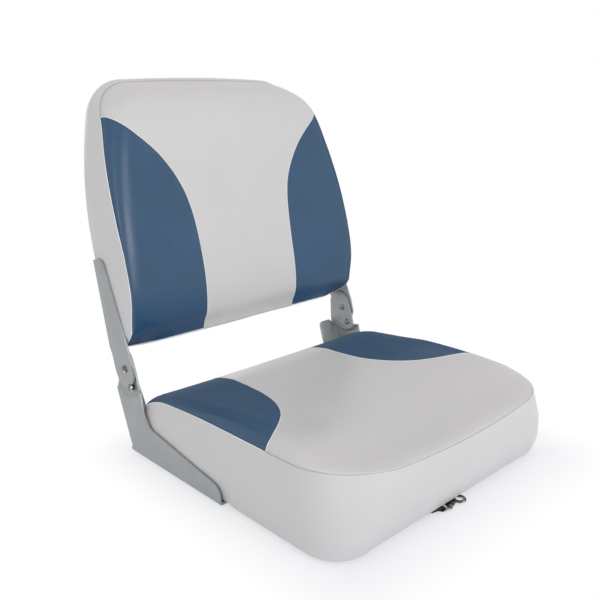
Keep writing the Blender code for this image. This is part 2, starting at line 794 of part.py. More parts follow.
def around(shape, margin):
    """Corners of a rectangle that clears a cushion all round."""
    half = shape["low"]["half"] + margin
    front = shape["low"]["front"] - margin
    rear = shape["low"]["rear"] + margin
    return [(-half, front, 0.0), (half, front, 0.0), (half, rear, 0.0), (-half, rear, 0.0)]


def seat_shape():
    length = SEAT_SEAM_FRONT + SEAT_SEAM_REAR

    def along_share(along):
        return (along + SEAT_SEAM_FRONT) / length

    def seam_height(point):
        share = along_share(point[1])
        front = SEAT_SEAM_FRONT_DROP * interpolate(SEAT_SEAM_FRONT_SHARES, share)
        rear = SEAT_SEAM_REAR_DROP * interpolate(SEAT_SEAM_REAR_SHARES, share)
        return SEAT_SEAM_HEIGHT - front - rear

    def face_height(across, along):
        share = along_share(along)
        crown = SEAT_FRONT_CROWN * math.exp(-((share * length / SEAT_FRONT_CROWN_REACH) ** 2))
        out = crested(abs(across) / SEAT_RIDGE_HALF) ** SEAT_RIDGE_POWER_SHARE
        return SEAT_FACE_HEIGHT + crown + SEAT_RIDGE * interpolate(SEAT_RIDGE_SHARES, share) * out

    low = {
        "half": SEAT_LOW_HALF, "front": -SEAT_LOW_FRONT, "rear": SEAT_LOW_REAR,
        "front_corner": SEAT_LOW_CORNER, "rear_corner": SEAT_LOW_CORNER,
        "front_bow": 0.0, "rear_bow": 0.0,
        "taper": 0.0, "taper_start": 0.0, "taper_end": SEAT_LOW_REAR,
    }
    seam = {
        "half": SEAT_SEAM_HALF, "front": -SEAT_SEAM_FRONT, "rear": SEAT_SEAM_REAR,
        "front_corner": SEAT_SEAM_FRONT_CORNER, "rear_corner": SEAT_SEAM_REAR_CORNER,
        "front_bow": SEAT_FRONT_BOW, "rear_bow": SEAT_REAR_BOW,
        "taper": 0.0, "taper_start": 0.0, "taper_end": SEAT_LOW_REAR,
    }
    return {
        "low": low, "seam": seam, "underside": SEAT_UNDERSIDE, "roll": SEAT_ROLL,
        "board": SEAT_BOARD, "board_name": "seat_base", "seam_height": seam_height,
        "face_height": face_height, "side_bulge": SEAT_SIDE_BULGE, "end_bulge": SEAT_END_BULGE,
        "middle": (SEAT_SEAM_REAR - SEAT_SEAM_FRONT) / 2,
        "insert_shares": SEAT_INSERT_SHARES, "insert_low": SEAT_FACE_HEIGHT / 2,
        "insert_high": SEAT_FACE_HEIGHT + SEAT_RIDGE + OVERRUN,
    }


def back_shape():
    length = BACK_SEAM_TOP - BACK_BOTTOM

    def seam_height(point):
        return BACK_SEAM_HEIGHT * interpolate(BACK_SEAM_SHARES, (point[1] - BACK_BOTTOM) / length)

    def face_height(across, along):
        share = (along - BACK_BOTTOM) / length
        out = crested(abs(across) / BACK_RIDGE_HALF) ** BACK_RIDGE_POWER_SHARE
        ridge = BACK_RIDGE * interpolate(BACK_RIDGE_SHARES, share) * out
        return BACK_FACE_HEIGHT * interpolate(BACK_FACE_SHARES, share) + ridge

    low = {
        "half": BACK_LOW_HALF, "front": BACK_BOTTOM, "rear": BACK_LOW_TOP,
        "front_corner": BACK_LOW_BOTTOM_CORNER, "rear_corner": BACK_LOW_TOP_CORNER,
        "front_bow": BACK_BOTTOM_BOW, "rear_bow": BACK_TOP_BOW,
        "taper": BACK_LOW_TAPER, "taper_start": BACK_LOW_TAPER_START,
        "taper_end": BACK_LOW_TOP,
    }
    seam = {
        "half": BACK_SEAM_HALF, "front": BACK_BOTTOM, "rear": BACK_SEAM_TOP,
        "front_corner": BACK_SEAM_BOTTOM_CORNER, "rear_corner": BACK_SEAM_TOP_CORNER,
        "front_bow": BACK_BOTTOM_BOW, "rear_bow": BACK_TOP_BOW,
        "taper": BACK_SEAM_TAPER, "taper_start": BACK_SEAM_TAPER_START,
        "taper_end": BACK_SEAM_TOP,
    }
    return {
        "low": low, "seam": seam, "underside": -BACK_REAR_FACE, "roll": BACK_ROLL,
        "board": BACK_BOARD, "board_name": "back_board", "seam_height": seam_height,
        "face_height": face_height, "side_bulge": BACK_SIDE_BULGE, "end_bulge": BACK_END_BULGE,
        "middle": (BACK_SEAM_TOP + BACK_BOTTOM) / 2,
        "insert_shares": BACK_INSERT_SHARES, "insert_low": -BACK_FACE_HEIGHT / 4,
        "insert_high": BACK_FACE_HEIGHT + BACK_RIDGE + OVERRUN,
    }


# Pressed steel hinge


def hinge_point(up, forward):
    """World Y and Z of a place in the back's frame, with the back open."""
    along = PIVOT_BACK + up * math.sin(RECLINE) - forward * math.cos(RECLINE)
    height = PIVOT_HEIGHT + up * math.cos(RECLINE) + forward * math.sin(RECLINE)
    return along, height


def folded_strip(name, underside, leg, flange, low, high, parent):
    """A strip bent to an L: web leg, bend and flange, drawn in X and Z and run along Y."""
    centre = (WEB_OUTER - BEND, underside + BEND)
    outer = arc(centre, BEND, 0.0, -math.pi / 2, BEND_STEPS)
    inner = arc(centre, BEND - SHEET, -math.pi / 2, 0.0, BEND_STEPS)
    edge = WEB_OUTER - flange
    outline = [(WEB_OUTER, underside + BEND + leg), *outer]
    outline += [(edge, underside), (edge, underside + SHEET), *inner]
    outline.append((WEB_INNER, underside + BEND + leg))
    return plate(name, outline, -high, -low, CROSS_PLANE, COATED_STEEL, parent)


def side_rod(name, radius, along, height, low, high, parent=None):
    """A cutter rod along X."""
    made = rod(name, radius, low, high, parent)
    made.rotation_euler = (0, math.pi / 2, 0)
    made.location = (0, along, height)
    return made


def recess_centre():
    return PIVOT_BACK - RECESS_AHEAD, PIVOT_HEIGHT - RECESS_DROP


def tongue_outline():
    """The tongue round the pivot, drawn in the back's frame."""
    centre_up = -RECESS_AHEAD * math.sin(RECLINE) - RECESS_DROP * math.cos(RECLINE)
    centre_forward = RECESS_AHEAD * math.cos(RECLINE) - RECESS_DROP * math.sin(RECLINE)
    radius = RECESS_RADIUS - RECESS_SLOPE
    top_centre = (TONGUE_TOP - TONGUE_TOP_RADIUS, -TONGUE_TOP_BACK)
    rear = -TONGUE_TOP_BACK - TONGUE_TOP_RADIUS
    foot_front = math.asin((RECESS_RADIUS * TONGUE_FOOT_FRONT_SHARE - centre_forward) / radius)
    foot_rear = math.asin((rear - centre_forward) / radius)
    outline = [(0.0, RECESS_RADIUS * TONGUE_FRONT_SHARE)]
    outline += arc(top_centre, TONGUE_TOP_RADIUS, math.pi / 2, -math.pi / 2, TONGUE_STEPS)
    outline += arc(
        (centre_up, centre_forward), radius, math.pi - foot_rear,
        math.pi - foot_front, TONGUE_STEPS,
    )
    return [hinge_point(up, forward) for up, forward in outline]


def lower_bracket():
    shares = BRACKET_OUTLINE_SHARES
    corners = []
    for length_share, height_share, radius_share in shares:
        along = BRACKET_NOSE + BRACKET_LENGTH * length_share
        corners.append((along, BRACKET_HEIGHT * height_share, BRACKET_HEIGHT * radius_share))
    rear_top = Vector(corners[-2][:2])
    rear_foot = Vector(corners[-1][:2])
    rear_lean = math.atan2(rear_top.x - rear_foot.x, rear_top.y - rear_foot.y)
    for index in (-2, -1):
        along, up, radius = corners[index]
        corners[index] = (along - BEND / math.cos(rear_lean), up, radius)
    outline = rounded(corners)
    bracket = plate(
        "left_lower_bracket", outline, WEB_INNER, WEB_OUTER, SIDE_PLANE, COATED_STEEL
    )
    boolean(bracket, rear_flange(rear_foot, rear_top, rear_lean), "UNION", "MANIFOLD")
    along, height = recess_centre()
    hollow = side_rod("recess_cut", RECESS_RADIUS, along, height, TONGUE_INNER, WEB_OUTER + OVERRUN)
    hollow.modifiers["turn"].steps = hollow.modifiers["turn"].render_steps = RECESS_STEPS
    boolean(bracket, hollow, "DIFFERENCE")

    wall = turned("recess_wall", recess_profile(), None, None, RECESS_STEPS)
    wall.rotation_euler = (0, math.pi / 2, 0)
    wall.location = (0, along, height)
    room = plate("recess_sector", outline, TONGUE_INNER - SHEET, WEB_OUTER + SHEET, SIDE_PLANE)
    boolean(wall, room, "INTERSECT")
    tongue = plate("tongue", tongue_outline(), TONGUE_INNER, TONGUE_OUTER, SIDE_PLANE)
    foot_end = BRACKET_NOSE + BRACKET_LENGTH * shares[-1][0]
    leg = BRACKET_HEIGHT * shares[-1][1] - BRACKET_UNDERSIDE
    foot = folded_strip(
        "bracket_foot", BRACKET_UNDERSIDE, leg, BRACKET_FLANGE, BRACKET_NOSE, foot_end, None
    )
    # These share the sheet's faces, which the exact solver joins badly
    for piece in (foot, wall, tongue):
        boolean(bracket, piece, "UNION", "MANIFOLD")
    holes = [
        side_rod("pivot_hole", RIVET_SHANK + GAP, PIVOT_BACK, PIVOT_HEIGHT, TONGUE_INNER - SHEET, WEB_INNER)
    ]
    stud = hinge_point(-STUD_DROP, STUD_FORWARD)
    holes.append(
        side_rod("stud_hole", RIVET_SHANK + GAP, *stud, TONGUE_INNER - SHEET, WEB_INNER)
    )
    for along in bracket_screw_places():
        hole = rod("screw_hole", SCREW_HOLE, 0.0, BRACKET_UNDERSIDE + SHEET + GAP)
        hole.location = (flange_screw_side(BRACKET_FLANGE), along, 0)
        holes.append(hole)
    boolean(bracket, joined("bracket_holes", holes), "DIFFERENCE", "MANIFOLD")
    mirrored(bracket, "right_lower_bracket")


def rear_flange(foot, top, lean):
    """The fold along the bracket's rear edge, with a rounded inner corner and a falling top."""
    end = (top - foot).length - REAR_FLANGE_DROP
    edge = WEB_OUTER - REAR_FLANGE
    strip = folded_strip(
        "bracket_rear", 0.0, REAR_LEG, REAR_FLANGE + OVERRUN, REAR_FLANGE_START, end + OVERRUN, None
    )
    corners = [
        (WEB_OUTER + OVERRUN, REAR_FLANGE_START - OVERRUN, 0.0),
        (WEB_OUTER + OVERRUN, end - REAR_FLANGE_FALL, 0.0),
        (WEB_OUTER, end - REAR_FLANGE_FALL, 0.0),
        (WEB_OUTER - REAR_FLANGE_SHOULDER, end, 0.0),
        (edge, end, REAR_FLANGE_CORNER),
        (edge, REAR_FLANGE_START - OVERRUN, 0.0),
    ]
    room = plate("rear_flange_room", rounded(corners), -OVERRUN, BEND * 2 + REAR_LEG, FLAT_PLANE)
    boolean(strip, room, "INTERSECT")
    for piece in (strip, room):
        piece.rotation_euler = (math.pi / 2 - lean, 0, 0)
        piece.location = (0, foot.x, foot.y)
    return strip


def recess_profile():
    """The pressed wall's section, as radius and place across, closed on itself."""
    foot = RECESS_RADIUS - RECESS_SLOPE
    return [
        (RECESS_RADIUS + RECESS_LAP, WEB_OUTER), (RECESS_RADIUS + RECESS_LAP, WEB_INNER),
        (foot + RECESS_LAP, TONGUE_INNER), (foot - RECESS_LAP, TONGUE_INNER),
        (foot - RECESS_LAP, TONGUE_OUTER), (foot, TONGUE_OUTER), (RECESS_RADIUS, WEB_OUTER),
    ]


def flange_screw_side(flange):
    return WEB_OUTER - flange + SCREW_INSET


def bracket_screw_places():
    length = BRACKET_LENGTH * BRACKET_OUTLINE_SHARES[-1][0]
    return [BRACKET_NOSE + length * share for share in BRACKET_SCREW_SHARES]


def arm_screw_places():
    length = ARM_TOP - ARM_FLANGE_BOTTOM
    return [ARM_FLANGE_BOTTOM + length * share for share in ARM_SCREW_SHARES]


def upper_arm(back):
    """Web with its rounded end, notched to rest on the stop stud, and the rear flange."""
    fold = -ARM_REAR + BEND
    stud_reach = math.hypot(STUD_DROP, STUD_FORWARD)
    stud_angle = math.pi - math.atan2(STUD_FORWARD, STUD_DROP)
    clear = stud_reach - STUD_SHOULDER - GAP
    front_angle = math.pi - math.asin(ARM_END_FRONT_SHARE)
    rear_angle = math.pi + math.asin(ARM_END_REAR_SHARE)
    corners = [(ARM_TOP, fold, 0.0), (ARM_TOP, ARM_TOP_FRONT, ARM_TOP_CORNER)]
    outline = rounded([*corners, (*share_point(ARM_FRONT_SHARES[0]), 0.0)])
    outline += [share_point(pair) for pair in ARM_FRONT_SHARES[1:]]
    outline += arc((0.0, 0.0), clear, front_angle, stud_angle, ARM_END_STEPS)
    outline += arc((0.0, 0.0), ARM_END_RADIUS, stud_angle, rear_angle, ARM_END_STEPS)
    outline += [share_point(pair) for pair in ARM_REAR_SHARES]
    outline.append((ARM_FLANGE_BOTTOM + BEND / 2, fold))
    arm = plate("left_upper_arm", outline, WEB_INNER, WEB_OUTER, SIDE_PLANE, COATED_STEEL, back)
    strip = folded_strip(
        "arm_flange", -ARM_REAR, ARM_LEG, ARM_FLANGE, ARM_FLANGE_BOTTOM, ARM_TOP, back
    )
    boolean(arm, strip, "UNION")
    holes = [
        side_rod("arm_pivot_hole", RIVET_SHANK + GAP, 0, 0, TONGUE_OUTER, WEB_OUTER + SHEET),
        side_rod(
            "arm_stop_notch", STUD_SHOULDER + GAP, -STUD_DROP, STUD_FORWARD, TONGUE_OUTER,
            WEB_OUTER + SHEET,
        ),
    ]
    for up in arm_screw_places():
        hole = rod("arm_screw_hole", SCREW_HOLE, -ARM_REAR - SHEET, -BACK_REAR_FACE)
        hole.location = (flange_screw_side(ARM_FLANGE), up, 0)
        holes.append(hole)
    boolean(arm, joined("arm_holes", holes, None, back), "DIFFERENCE")
    mirrored(arm, "right_upper_arm")


def share_point(pair):
    return ARM_TOP * pair[0], ARM_FRONT * pair[1]


def rivet_profile(shoulder):
    """Head outside the arm, shoulder in the arm's plane, shank in the tongue, tail inside."""
    seat = WEB_OUTER + GAP
    ledge = TONGUE_OUTER + GAP
    tail = TONGUE_INNER - GAP
    head_height = RIVET_HEAD_HEIGHT if shoulder == RIVET_SHANK else STUD_HEAD_HEIGHT
    outline = [*dome(RIVET_HEAD, seat, head_height), (shoulder, seat), (shoulder, ledge)]
    if shoulder > RIVET_SHANK:
        outline.append((RIVET_SHANK, ledge))
    outline += [(RIVET_SHANK, tail)]
    foot = [(radius, 2 * tail - height) for radius, height in dome(RIVET_TAIL, tail, RIVET_TAIL_HEIGHT)]
    return outline + foot[::-1]


def rivets():
    places = {
        "pivot_rivet": ((PIVOT_BACK, PIVOT_HEIGHT), RIVET_SHANK),
        "stop_stud": (hinge_point(-STUD_DROP, STUD_FORWARD), STUD_SHOULDER),
    }
    for name, ((along, height), shoulder) in places.items():
        made = turned("left_" + name, rivet_profile(shoulder), NICKEL)
        set_across(made, along, height)
    washer = turned("left_pivot_washer", washer_profile(), NICKEL)
    set_across(washer, PIVOT_BACK, PIVOT_HEIGHT)


def set_across(made, along, height):
    """Lays a turned piece along X at a place, and makes its twin on the other side."""
    made.rotation_euler = (0, math.pi / 2, 0)
    made.location = (0, along, height)
    twin = mirrored_across(made, made.name.replace("left", "right"))
    twin.rotation_euler = (0, -math.pi / 2, 0)
    twin.location = made.location


def mirrored_across(made, name):
    """A copy of a turned piece, which is its own mirror image when turned about."""
    twin = bpy.data.objects.new(name, evaluated_mesh(made))
    PARTS.objects.link(twin)
    return twin


def washer_profile():
    low = TONGUE_OUTER + GAP
    high = WEB_INNER - GAP
    bore = RIVET_SHANK + GAP
    return ((bore, high), (WASHER_RADIUS, high), (WASHER_RADIUS, low), (bore, low))


def screw_profile(length):
    """A pan-head screw, head down, with its bearing face at zero."""
    head = [(radius, -height) for radius, height in dome(SCREW_HEAD, 0.0, SCREW_HEAD_HEIGHT, 2)]
    return [(0.0, length), (SCREW_SHANK, length), (SCREW_SHANK, 0.0), *head[::-1]]


def screws(back):
    number = 0
    for across in (1, -1):
        for along in bracket_screw_places():
            number += 1
            made = turned(f"bracket_screw_{number}", screw_profile(SCREW_LENGTH + GAP), NICKEL)
            seat = BRACKET_UNDERSIDE - GAP
            made.location = (across * flange_screw_side(BRACKET_FLANGE), along, seat)
    number = 0
    for across in (1, -1):
        for up in arm_screw_places():
            number += 1
            made = turned(f"arm_screw_{number}", screw_profile(SCREW_LENGTH + GAP), NICKEL, back)
            made.location = (across * flange_screw_side(ARM_FLANGE), up, -ARM_REAR - GAP)


def screw_rooms(places, side, low, high, parent=None):
    """Cutter rods along Z at both sides, for the screws through hem and board."""
    rooms = []
    for along in places:
        for across in (side, -side):
            room = rod("screw_room", SCREW_HOLE, low, high, parent, ROOM_STEPS)
            room.location = (across, along, 0)
            rooms.append(room)
    return rooms


# Moulded base


def base_foot(board):
    """The foot under the board: a walled tray of ribs round a solid pad, with nut holes."""
    floor = SEAT_UNDERSIDE + SKIN_ROOM
    corners = [
        (-FOOT_HALF, -FOOT_FRONT, FOOT_CORNER), (FOOT_HALF, -FOOT_FRONT, FOOT_CORNER),
        (FOOT_HALF, FOOT_REAR, FOOT_CORNER), (-FOOT_HALF, FOOT_REAR, FOOT_CORNER),
    ]
    foot = plate("foot_block", rounded(corners), 0.0, floor + SEAT_BOARD / 2, FLAT_PLANE)
    boolean(board, foot, "UNION")
    pitch_across = (FOOT_HALF * 2 - FOOT_WALL * 2 + RIB) / POCKETS_ACROSS
    pitch_along = (FOOT_FRONT + FOOT_REAR - FOOT_WALL * 2 + RIB) / POCKETS_ALONG
    pockets = []
    for column in range(POCKETS_ACROSS):
        across = -FOOT_HALF + FOOT_WALL + pitch_across * column
        for row in range(POCKETS_ALONG):
            along = -FOOT_FRONT + FOOT_WALL + pitch_along * row
            right = across + pitch_across - RIB
            rear = along + pitch_along - RIB
            over_pad = across < PAD_HALF and right > -PAD_HALF
            if over_pad and along < PAD_HALF and rear > -PAD_HALF:
                continue
            outline = [(across, along), (right, along), (right, rear), (across, rear)]
            pockets.append(plate("pocket", outline, -OVERRUN, POCKET_TOP, FLAT_PLANE))
    boolean(board, joined("foot_pockets", pockets), "DIFFERENCE")
    holes = []
    for across in (-BOLT_PATTERN / 2, BOLT_PATTERN / 2):
        for along in (-BOLT_PATTERN / 2, BOLT_PATTERN / 2):
            hole = rod("nut_hole", NUT_RADIUS + GAP, -OVERRUN, NUT_LENGTH + GAP * 2)
            hole.location = (across, along, 0)
            holes.append(hole)
    tip = BRACKET_UNDERSIDE + SCREW_LENGTH + GAP
    side = flange_screw_side(BRACKET_FLANGE)
    holes += screw_rooms(bracket_screw_places(), side, -OVERRUN, tip)
    strap = rod("strap_screw_room", SCREW_HOLE, -OVERRUN, strap_screw_tip() + GAP)
    strap.location = (STRAP_ANCHOR_SIDE, -STRAP_ANCHOR_FRONT, 0)
    holes.append(strap)
    boolean(board, joined("base_holes", holes), "DIFFERENCE")


def insert_nuts():
    number = 0
    for across in (-BOLT_PATTERN / 2, BOLT_PATTERN / 2):
        for along in (-BOLT_PATTERN / 2, BOLT_PATTERN / 2):
            number += 1
            low, high = GAP, GAP + NUT_LENGTH
            outline = ((NUT_BORE, high), (NUT_RADIUS, high), (NUT_RADIUS, low), (NUT_BORE, low))
            made = turned(f"insert_nut_{number}", outline, BRASS)
            made.location = (across, along, 0)


# Tie strap


def strap_level():
    """Middle height of the webbing where it lies under the hem."""
    return SEAT_UNDERSIDE - GAP - STRAP_THICK / 2


def strap_screw_tip():
    return strap_level() - STRAP_THICK / 2 + SCREW_LENGTH


def ribbon_outline(path, thick):
    """Both sides of a ribbon whose middle line is the path."""
    left, right = [], []
    for index, point in enumerate(path):
        before = Vector(path[max(index - 1, 0)])
        after = Vector(path[min(index + 1, len(path) - 1)])
        run = (after - before).normalized()
        way = Vector((-run.y, run.x)) * thick / 2
        left.append(tuple(Vector(point) + way))
        right.append(tuple(Vector(point) - way))
    return left + right[::-1]


def tie_strap():
    axis = bpy.data.objects.new("strap_axis", None)
    PARTS.objects.link(axis)
    axis.location = (STRAP_ANCHOR_SIDE, -STRAP_ANCHOR_FRONT, 0)
    axis.rotation_euler = (0, 0, STRAP_ANGLE)
    level = strap_level()
    loop = arc(
        (STRAP_LENGTH, level - STRAP_LOOP), STRAP_LOOP, math.pi / 2, -math.pi / 2,
        STRAP_LOOP_STEPS,
    )
    under = level - STRAP_THICK - GAP
    path = [(-STRAP_TAIL, level), *loop]
    path.append((STRAP_LENGTH - HOOK_BAR, level - STRAP_LOOP * 2))
    path.append((STRAP_LENGTH - HOOK_BAR - STRAP_RETURN / 3, under))
    path.append((STRAP_LENGTH - STRAP_RETURN, under))
    webbing = plate(
        "strap_webbing", ribbon_outline(path, STRAP_THICK), -STRAP_WIDTH / 2, STRAP_WIDTH / 2,
        CROSS_PLANE, WEBBING, axis,
    )
    hole = rod("webbing_hole", SCREW_HOLE, level - STRAP_THICK, level + STRAP_THICK, axis)
    boolean(webbing, hole, "DIFFERENCE")

    under = level - STRAP_THICK / 2 - GAP
    bore = SCREW_SHANK + GAP
    low = under - STRAP_WASHER_THICK
    outline = ((bore, under), (STRAP_WASHER, under), (STRAP_WASHER, low), (bore, low))
    turned("strap_washer", outline, NICKEL, axis)
    screw = turned("strap_screw", screw_profile(strap_screw_tip() - low + GAP), NICKEL)
    screw.location = (STRAP_ANCHOR_SIDE, -STRAP_ANCHOR_FRONT, low - GAP)
    strap_hook(axis, level - STRAP_LOOP)


def strap_hook(axis, middle):
    """A stamped hook: a slotted end on the webbing's loop, a tapering neck and an open eye."""
    start = STRAP_LENGTH + HOOK_BAR_AHEAD - HOOK_BAR
    neck = STRAP_LENGTH + HOOK_NECK_AT
    shoulder = STRAP_LENGTH + HOOK_BAR_AHEAD + HOOK_SLOT + HOOK_SHOULDER
    eye = STRAP_LENGTH + HOOK_LENGTH - HOOK_EYE
    meet = math.pi - math.asin(HOOK_NECK_HALF / HOOK_EYE)
    round_eye = [(*point, 0.0) for point in arc((eye, 0.0), HOOK_EYE, -meet, meet, TURN_STEPS)]
    outline = rounded(
        [
            (start, -HOOK_HALF, HOOK_BAR / 2), (shoulder, -HOOK_HALF, HOOK_BAR),
            (neck, -HOOK_NECK_HALF, HOOK_BAR), *round_eye, (neck, HOOK_NECK_HALF, HOOK_BAR),
            (shoulder, HOOK_HALF, HOOK_BAR), (start, HOOK_HALF, HOOK_BAR / 2),
        ]
    )
    low, high = middle - HOOK_THICK / 2, middle + HOOK_THICK / 2
    hook = plate("strap_hook", outline, low, high, FLAT_PLANE, NICKEL, axis)
    cuts = [rod("hook_bore", HOOK_EYE_BORE, low - OVERRUN, high + OVERRUN, axis)]
    cuts[0].location = (eye, 0, 0)
    slot_half = STRAP_WIDTH / 2 + GAP * 2
    slot_start = STRAP_LENGTH + HOOK_BAR_AHEAD
    slot = [
        (slot_start, -slot_half), (slot_start + HOOK_SLOT, -slot_half),
        (slot_start + HOOK_SLOT, slot_half), (slot_start, slot_half),
    ]
    cuts.append(plate("hook_slot", slot, low - OVERRUN, high + OVERRUN, FLAT_PLANE, None, axis))
    mouth = [
        (eye, 0.0), (eye + HOOK_MOUTH, -HOOK_EYE - OVERRUN), (eye - HOOK_MOUTH / 2, -HOOK_EYE - OVERRUN),
    ]
    cuts.append(plate("hook_mouth", mouth, low - OVERRUN, high + OVERRUN, FLAT_PLANE, None, axis))
    for cut in cuts:
        boolean(hook, cut, "DIFFERENCE")


def build():
    back = bpy.data.objects.new("back_axis", None)
    PARTS.objects.link(back)
    back.location = (0, PIVOT_BACK, PIVOT_HEIGHT)
    back.rotation_euler = (math.pi / 2 - RECLINE, 0, 0)

    base, cover = cushion("seat", seat_shape(), None)
    base_foot(base)
    insert_nuts()
    side = flange_screw_side(BRACKET_FLANGE)
    rooms = screw_rooms(bracket_screw_places(), side, 0.0, SEAT_UNDERSIDE + SEAT_ROLL / 2)
    strap = rod("hem_strap_room", SCREW_HOLE, 0.0, SEAT_UNDERSIDE + SEAT_ROLL / 2)
    strap.location = (STRAP_ANCHOR_SIDE, -STRAP_ANCHOR_FRONT, 0)
    boolean(cover, joined("seat_hem_holes", [*rooms, strap]), "DIFFERENCE")

    board, cover = cushion("back", back_shape(), back)
    field = shrunk(back_shape()["low"], BACK_ROLL + HEM_WIDTH + SKIN)
    raised = -BACK_REAR_FACE + GAP
    boolean(
        board, plate("board_field", field, raised, raised + BACK_BOARD / 2, FLAT_PLANE, None, back),
        "UNION",
    )
    side = flange_screw_side(ARM_FLANGE)
    tip = -ARM_REAR + SCREW_LENGTH + GAP
    rooms = screw_rooms(arm_screw_places(), side, -ARM_REAR, tip, back)
    boolean(board, joined("board_holes", rooms, None, back), "DIFFERENCE")
    rooms = screw_rooms(arm_screw_places(), side, -ARM_REAR, tip, back)
    boolean(cover, joined("back_hem_holes", rooms, None, back), "DIFFERENCE")

    lower_bracket()
    upper_arm(back)
    rivets()
    screws(back)
    tie_strap()


clear_scene()
PARTS = collection("folding_boat_seat")
CUTTERS = collection("cutters")
build()
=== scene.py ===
"""Folding boat seat: finished cushions with sewn seams, coated brackets and the tie strap."""

import math

import bmesh
import bpy
import numpy as np
from mathutils import Matrix, Vector, noise
from mathutils.geometry import delaunay_2d_cdt


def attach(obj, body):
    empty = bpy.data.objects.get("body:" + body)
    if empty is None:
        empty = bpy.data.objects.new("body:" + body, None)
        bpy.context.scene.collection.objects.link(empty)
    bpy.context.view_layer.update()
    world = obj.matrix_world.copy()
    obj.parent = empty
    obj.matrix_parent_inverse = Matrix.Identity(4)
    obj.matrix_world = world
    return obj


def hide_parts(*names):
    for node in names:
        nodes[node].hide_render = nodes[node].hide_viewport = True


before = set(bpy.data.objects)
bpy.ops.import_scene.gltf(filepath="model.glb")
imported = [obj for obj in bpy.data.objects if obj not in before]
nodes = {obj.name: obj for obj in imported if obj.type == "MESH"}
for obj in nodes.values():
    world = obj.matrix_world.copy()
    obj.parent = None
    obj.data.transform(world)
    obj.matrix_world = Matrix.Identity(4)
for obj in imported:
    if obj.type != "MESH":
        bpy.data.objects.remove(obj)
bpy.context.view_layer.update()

# The reclined back's own frame: X across, Y up the back, Z to the front
PIVOT = Vector((0.0, 0.2001, 0.1166))
RECLINE = math.radians(13.5)
BACK_FRAME = Matrix.Translation(PIVOT) @ Matrix.Rotation(math.pi / 2 - RECLINE, 4, "X")
# The strap's own frame: X along it, from its screw to the hook
STRAP_SCREW = (-0.080, -0.1535, 0.0)
STRAP_FRAME = Matrix.Translation(STRAP_SCREW) @ Matrix.Rotation(math.radians(-15), 4, "Z")

SKIN = 0.0009  # thickness of the vinyl
SEAM_ROLL = 0.0011  # radius of a sewn edge
EDGE_INSET = 0.8  # how far inside the seam a panel ends, as a share of that radius
FLAP = 0.0026  # turned-in edge below a seam
EDGE_WIDTH = 0.027  # padded edge, from the seam to the full face
BRACKET_LIMIT = 0.2052  # how far out a cushion's side may come beside the steel
ARMS_END = 0.150  # how far up the back the arms hold its sides in


def deselect():
    if bpy.context.mode != "OBJECT":
        bpy.ops.object.mode_set(mode="OBJECT")
    bpy.ops.object.select_all(action="DESELECT")


def pick(piece):
    deselect()
    piece.select_set(True)
    bpy.context.view_layer.objects.active = piece


def add_piece(name, points, faces):
    mesh = bpy.data.meshes.new(name)
    mesh.from_pydata([tuple(p) for p in points], [], [tuple(f) for f in faces])
    mesh.update()
    piece = bpy.data.objects.new(name, mesh)
    bpy.context.scene.collection.objects.link(piece)
    return piece


def apply_modifier(piece, kind, **values):
    pick(piece)
    step = piece.modifiers.new(kind.lower(), kind)
    for key, value in values.items():
        setattr(step, key, value)
    bpy.ops.object.modifier_apply(modifier=step.name)


def join(pieces):
    deselect()
    for piece in pieces:
        piece.select_set(True)
    bpy.context.view_layer.objects.active = pieces[0]
    bpy.ops.object.join()
    return bpy.context.view_layer.objects.active


def paint(piece, material):
    piece.data.materials.clear()
    piece.data.materials.append(material)


def smooth_by(piece, degrees):
    pick(piece)
    bpy.ops.object.shade_smooth_by_angle(angle=math.radians(degrees))


def mirrored(points):
    return [Vector((-p.x, p.y)) for p in points]


def table_curve(table, place):
    """A smooth curve through a table of places and values."""
    if place <= table[0][0]:
        return table[0][1]
    if place >= table[-1][0]:
        return table[-1][1]

    def slope(index):
        before = table[max(index - 1, 0)]
        after = table[min(index + 1, len(table) - 1)]
        return (after[1] - before[1]) / (after[0] - before[0])

    right = next(index for index, row in enumerate(table) if row[0] > place)
    left = right - 1
    span = table[right][0] - table[left][0]
    step = (place - table[left][0]) / span
    bend = step * step * (3 - 2 * step)
    leave = step * (1 - step) ** 2 * slope(left) * span
    arrive = -step * step * (1 - step) * slope(right) * span
    return table[left][1] * (1 - bend) + table[right][1] * bend + leave + arrive


# Cushion outlines, in each cushion's own frame: half width, front or bottom end, rear or top end
SEAT = {
    "low": {
        "half": 0.202, "front": -0.177, "rear": 0.183, "front_corner": 0.047, "rear_corner": 0.036,
        "front_bow": 0.0, "rear_bow": 0.0, "taper": 0.0, "taper_start": 0.0, "taper_end": 0.183,
    },
    "seam": {
        "half": 0.1995, "front": -0.1945, "rear": 0.183, "front_corner": 0.078,
        "rear_corner": 0.016, "front_bow": 0.012, "rear_bow": 0.003, "taper": 0.0,
        "taper_start": 0.0, "taper_end": 0.183,
    },
    "underside": 0.0058, "roll": 0.0045, "side_bulge": 0.0035, "end_bulge": 0.0095, "seed": 1.7,
    "insert": (
        (0.219, -0.071), (0.1995, -0.0680), (0.187, -0.0645), (0.170, -0.0527), (0.149, -0.0345),
        (0.1275, -0.013), (0.1125, 0.0077), (0.101, 0.031), (0.0925, 0.060), (0.0895, 0.088),
        (0.0887, 0.115), (0.0887, 0.141), (0.0890, 0.168), (0.0892, 0.200),
    ),
}
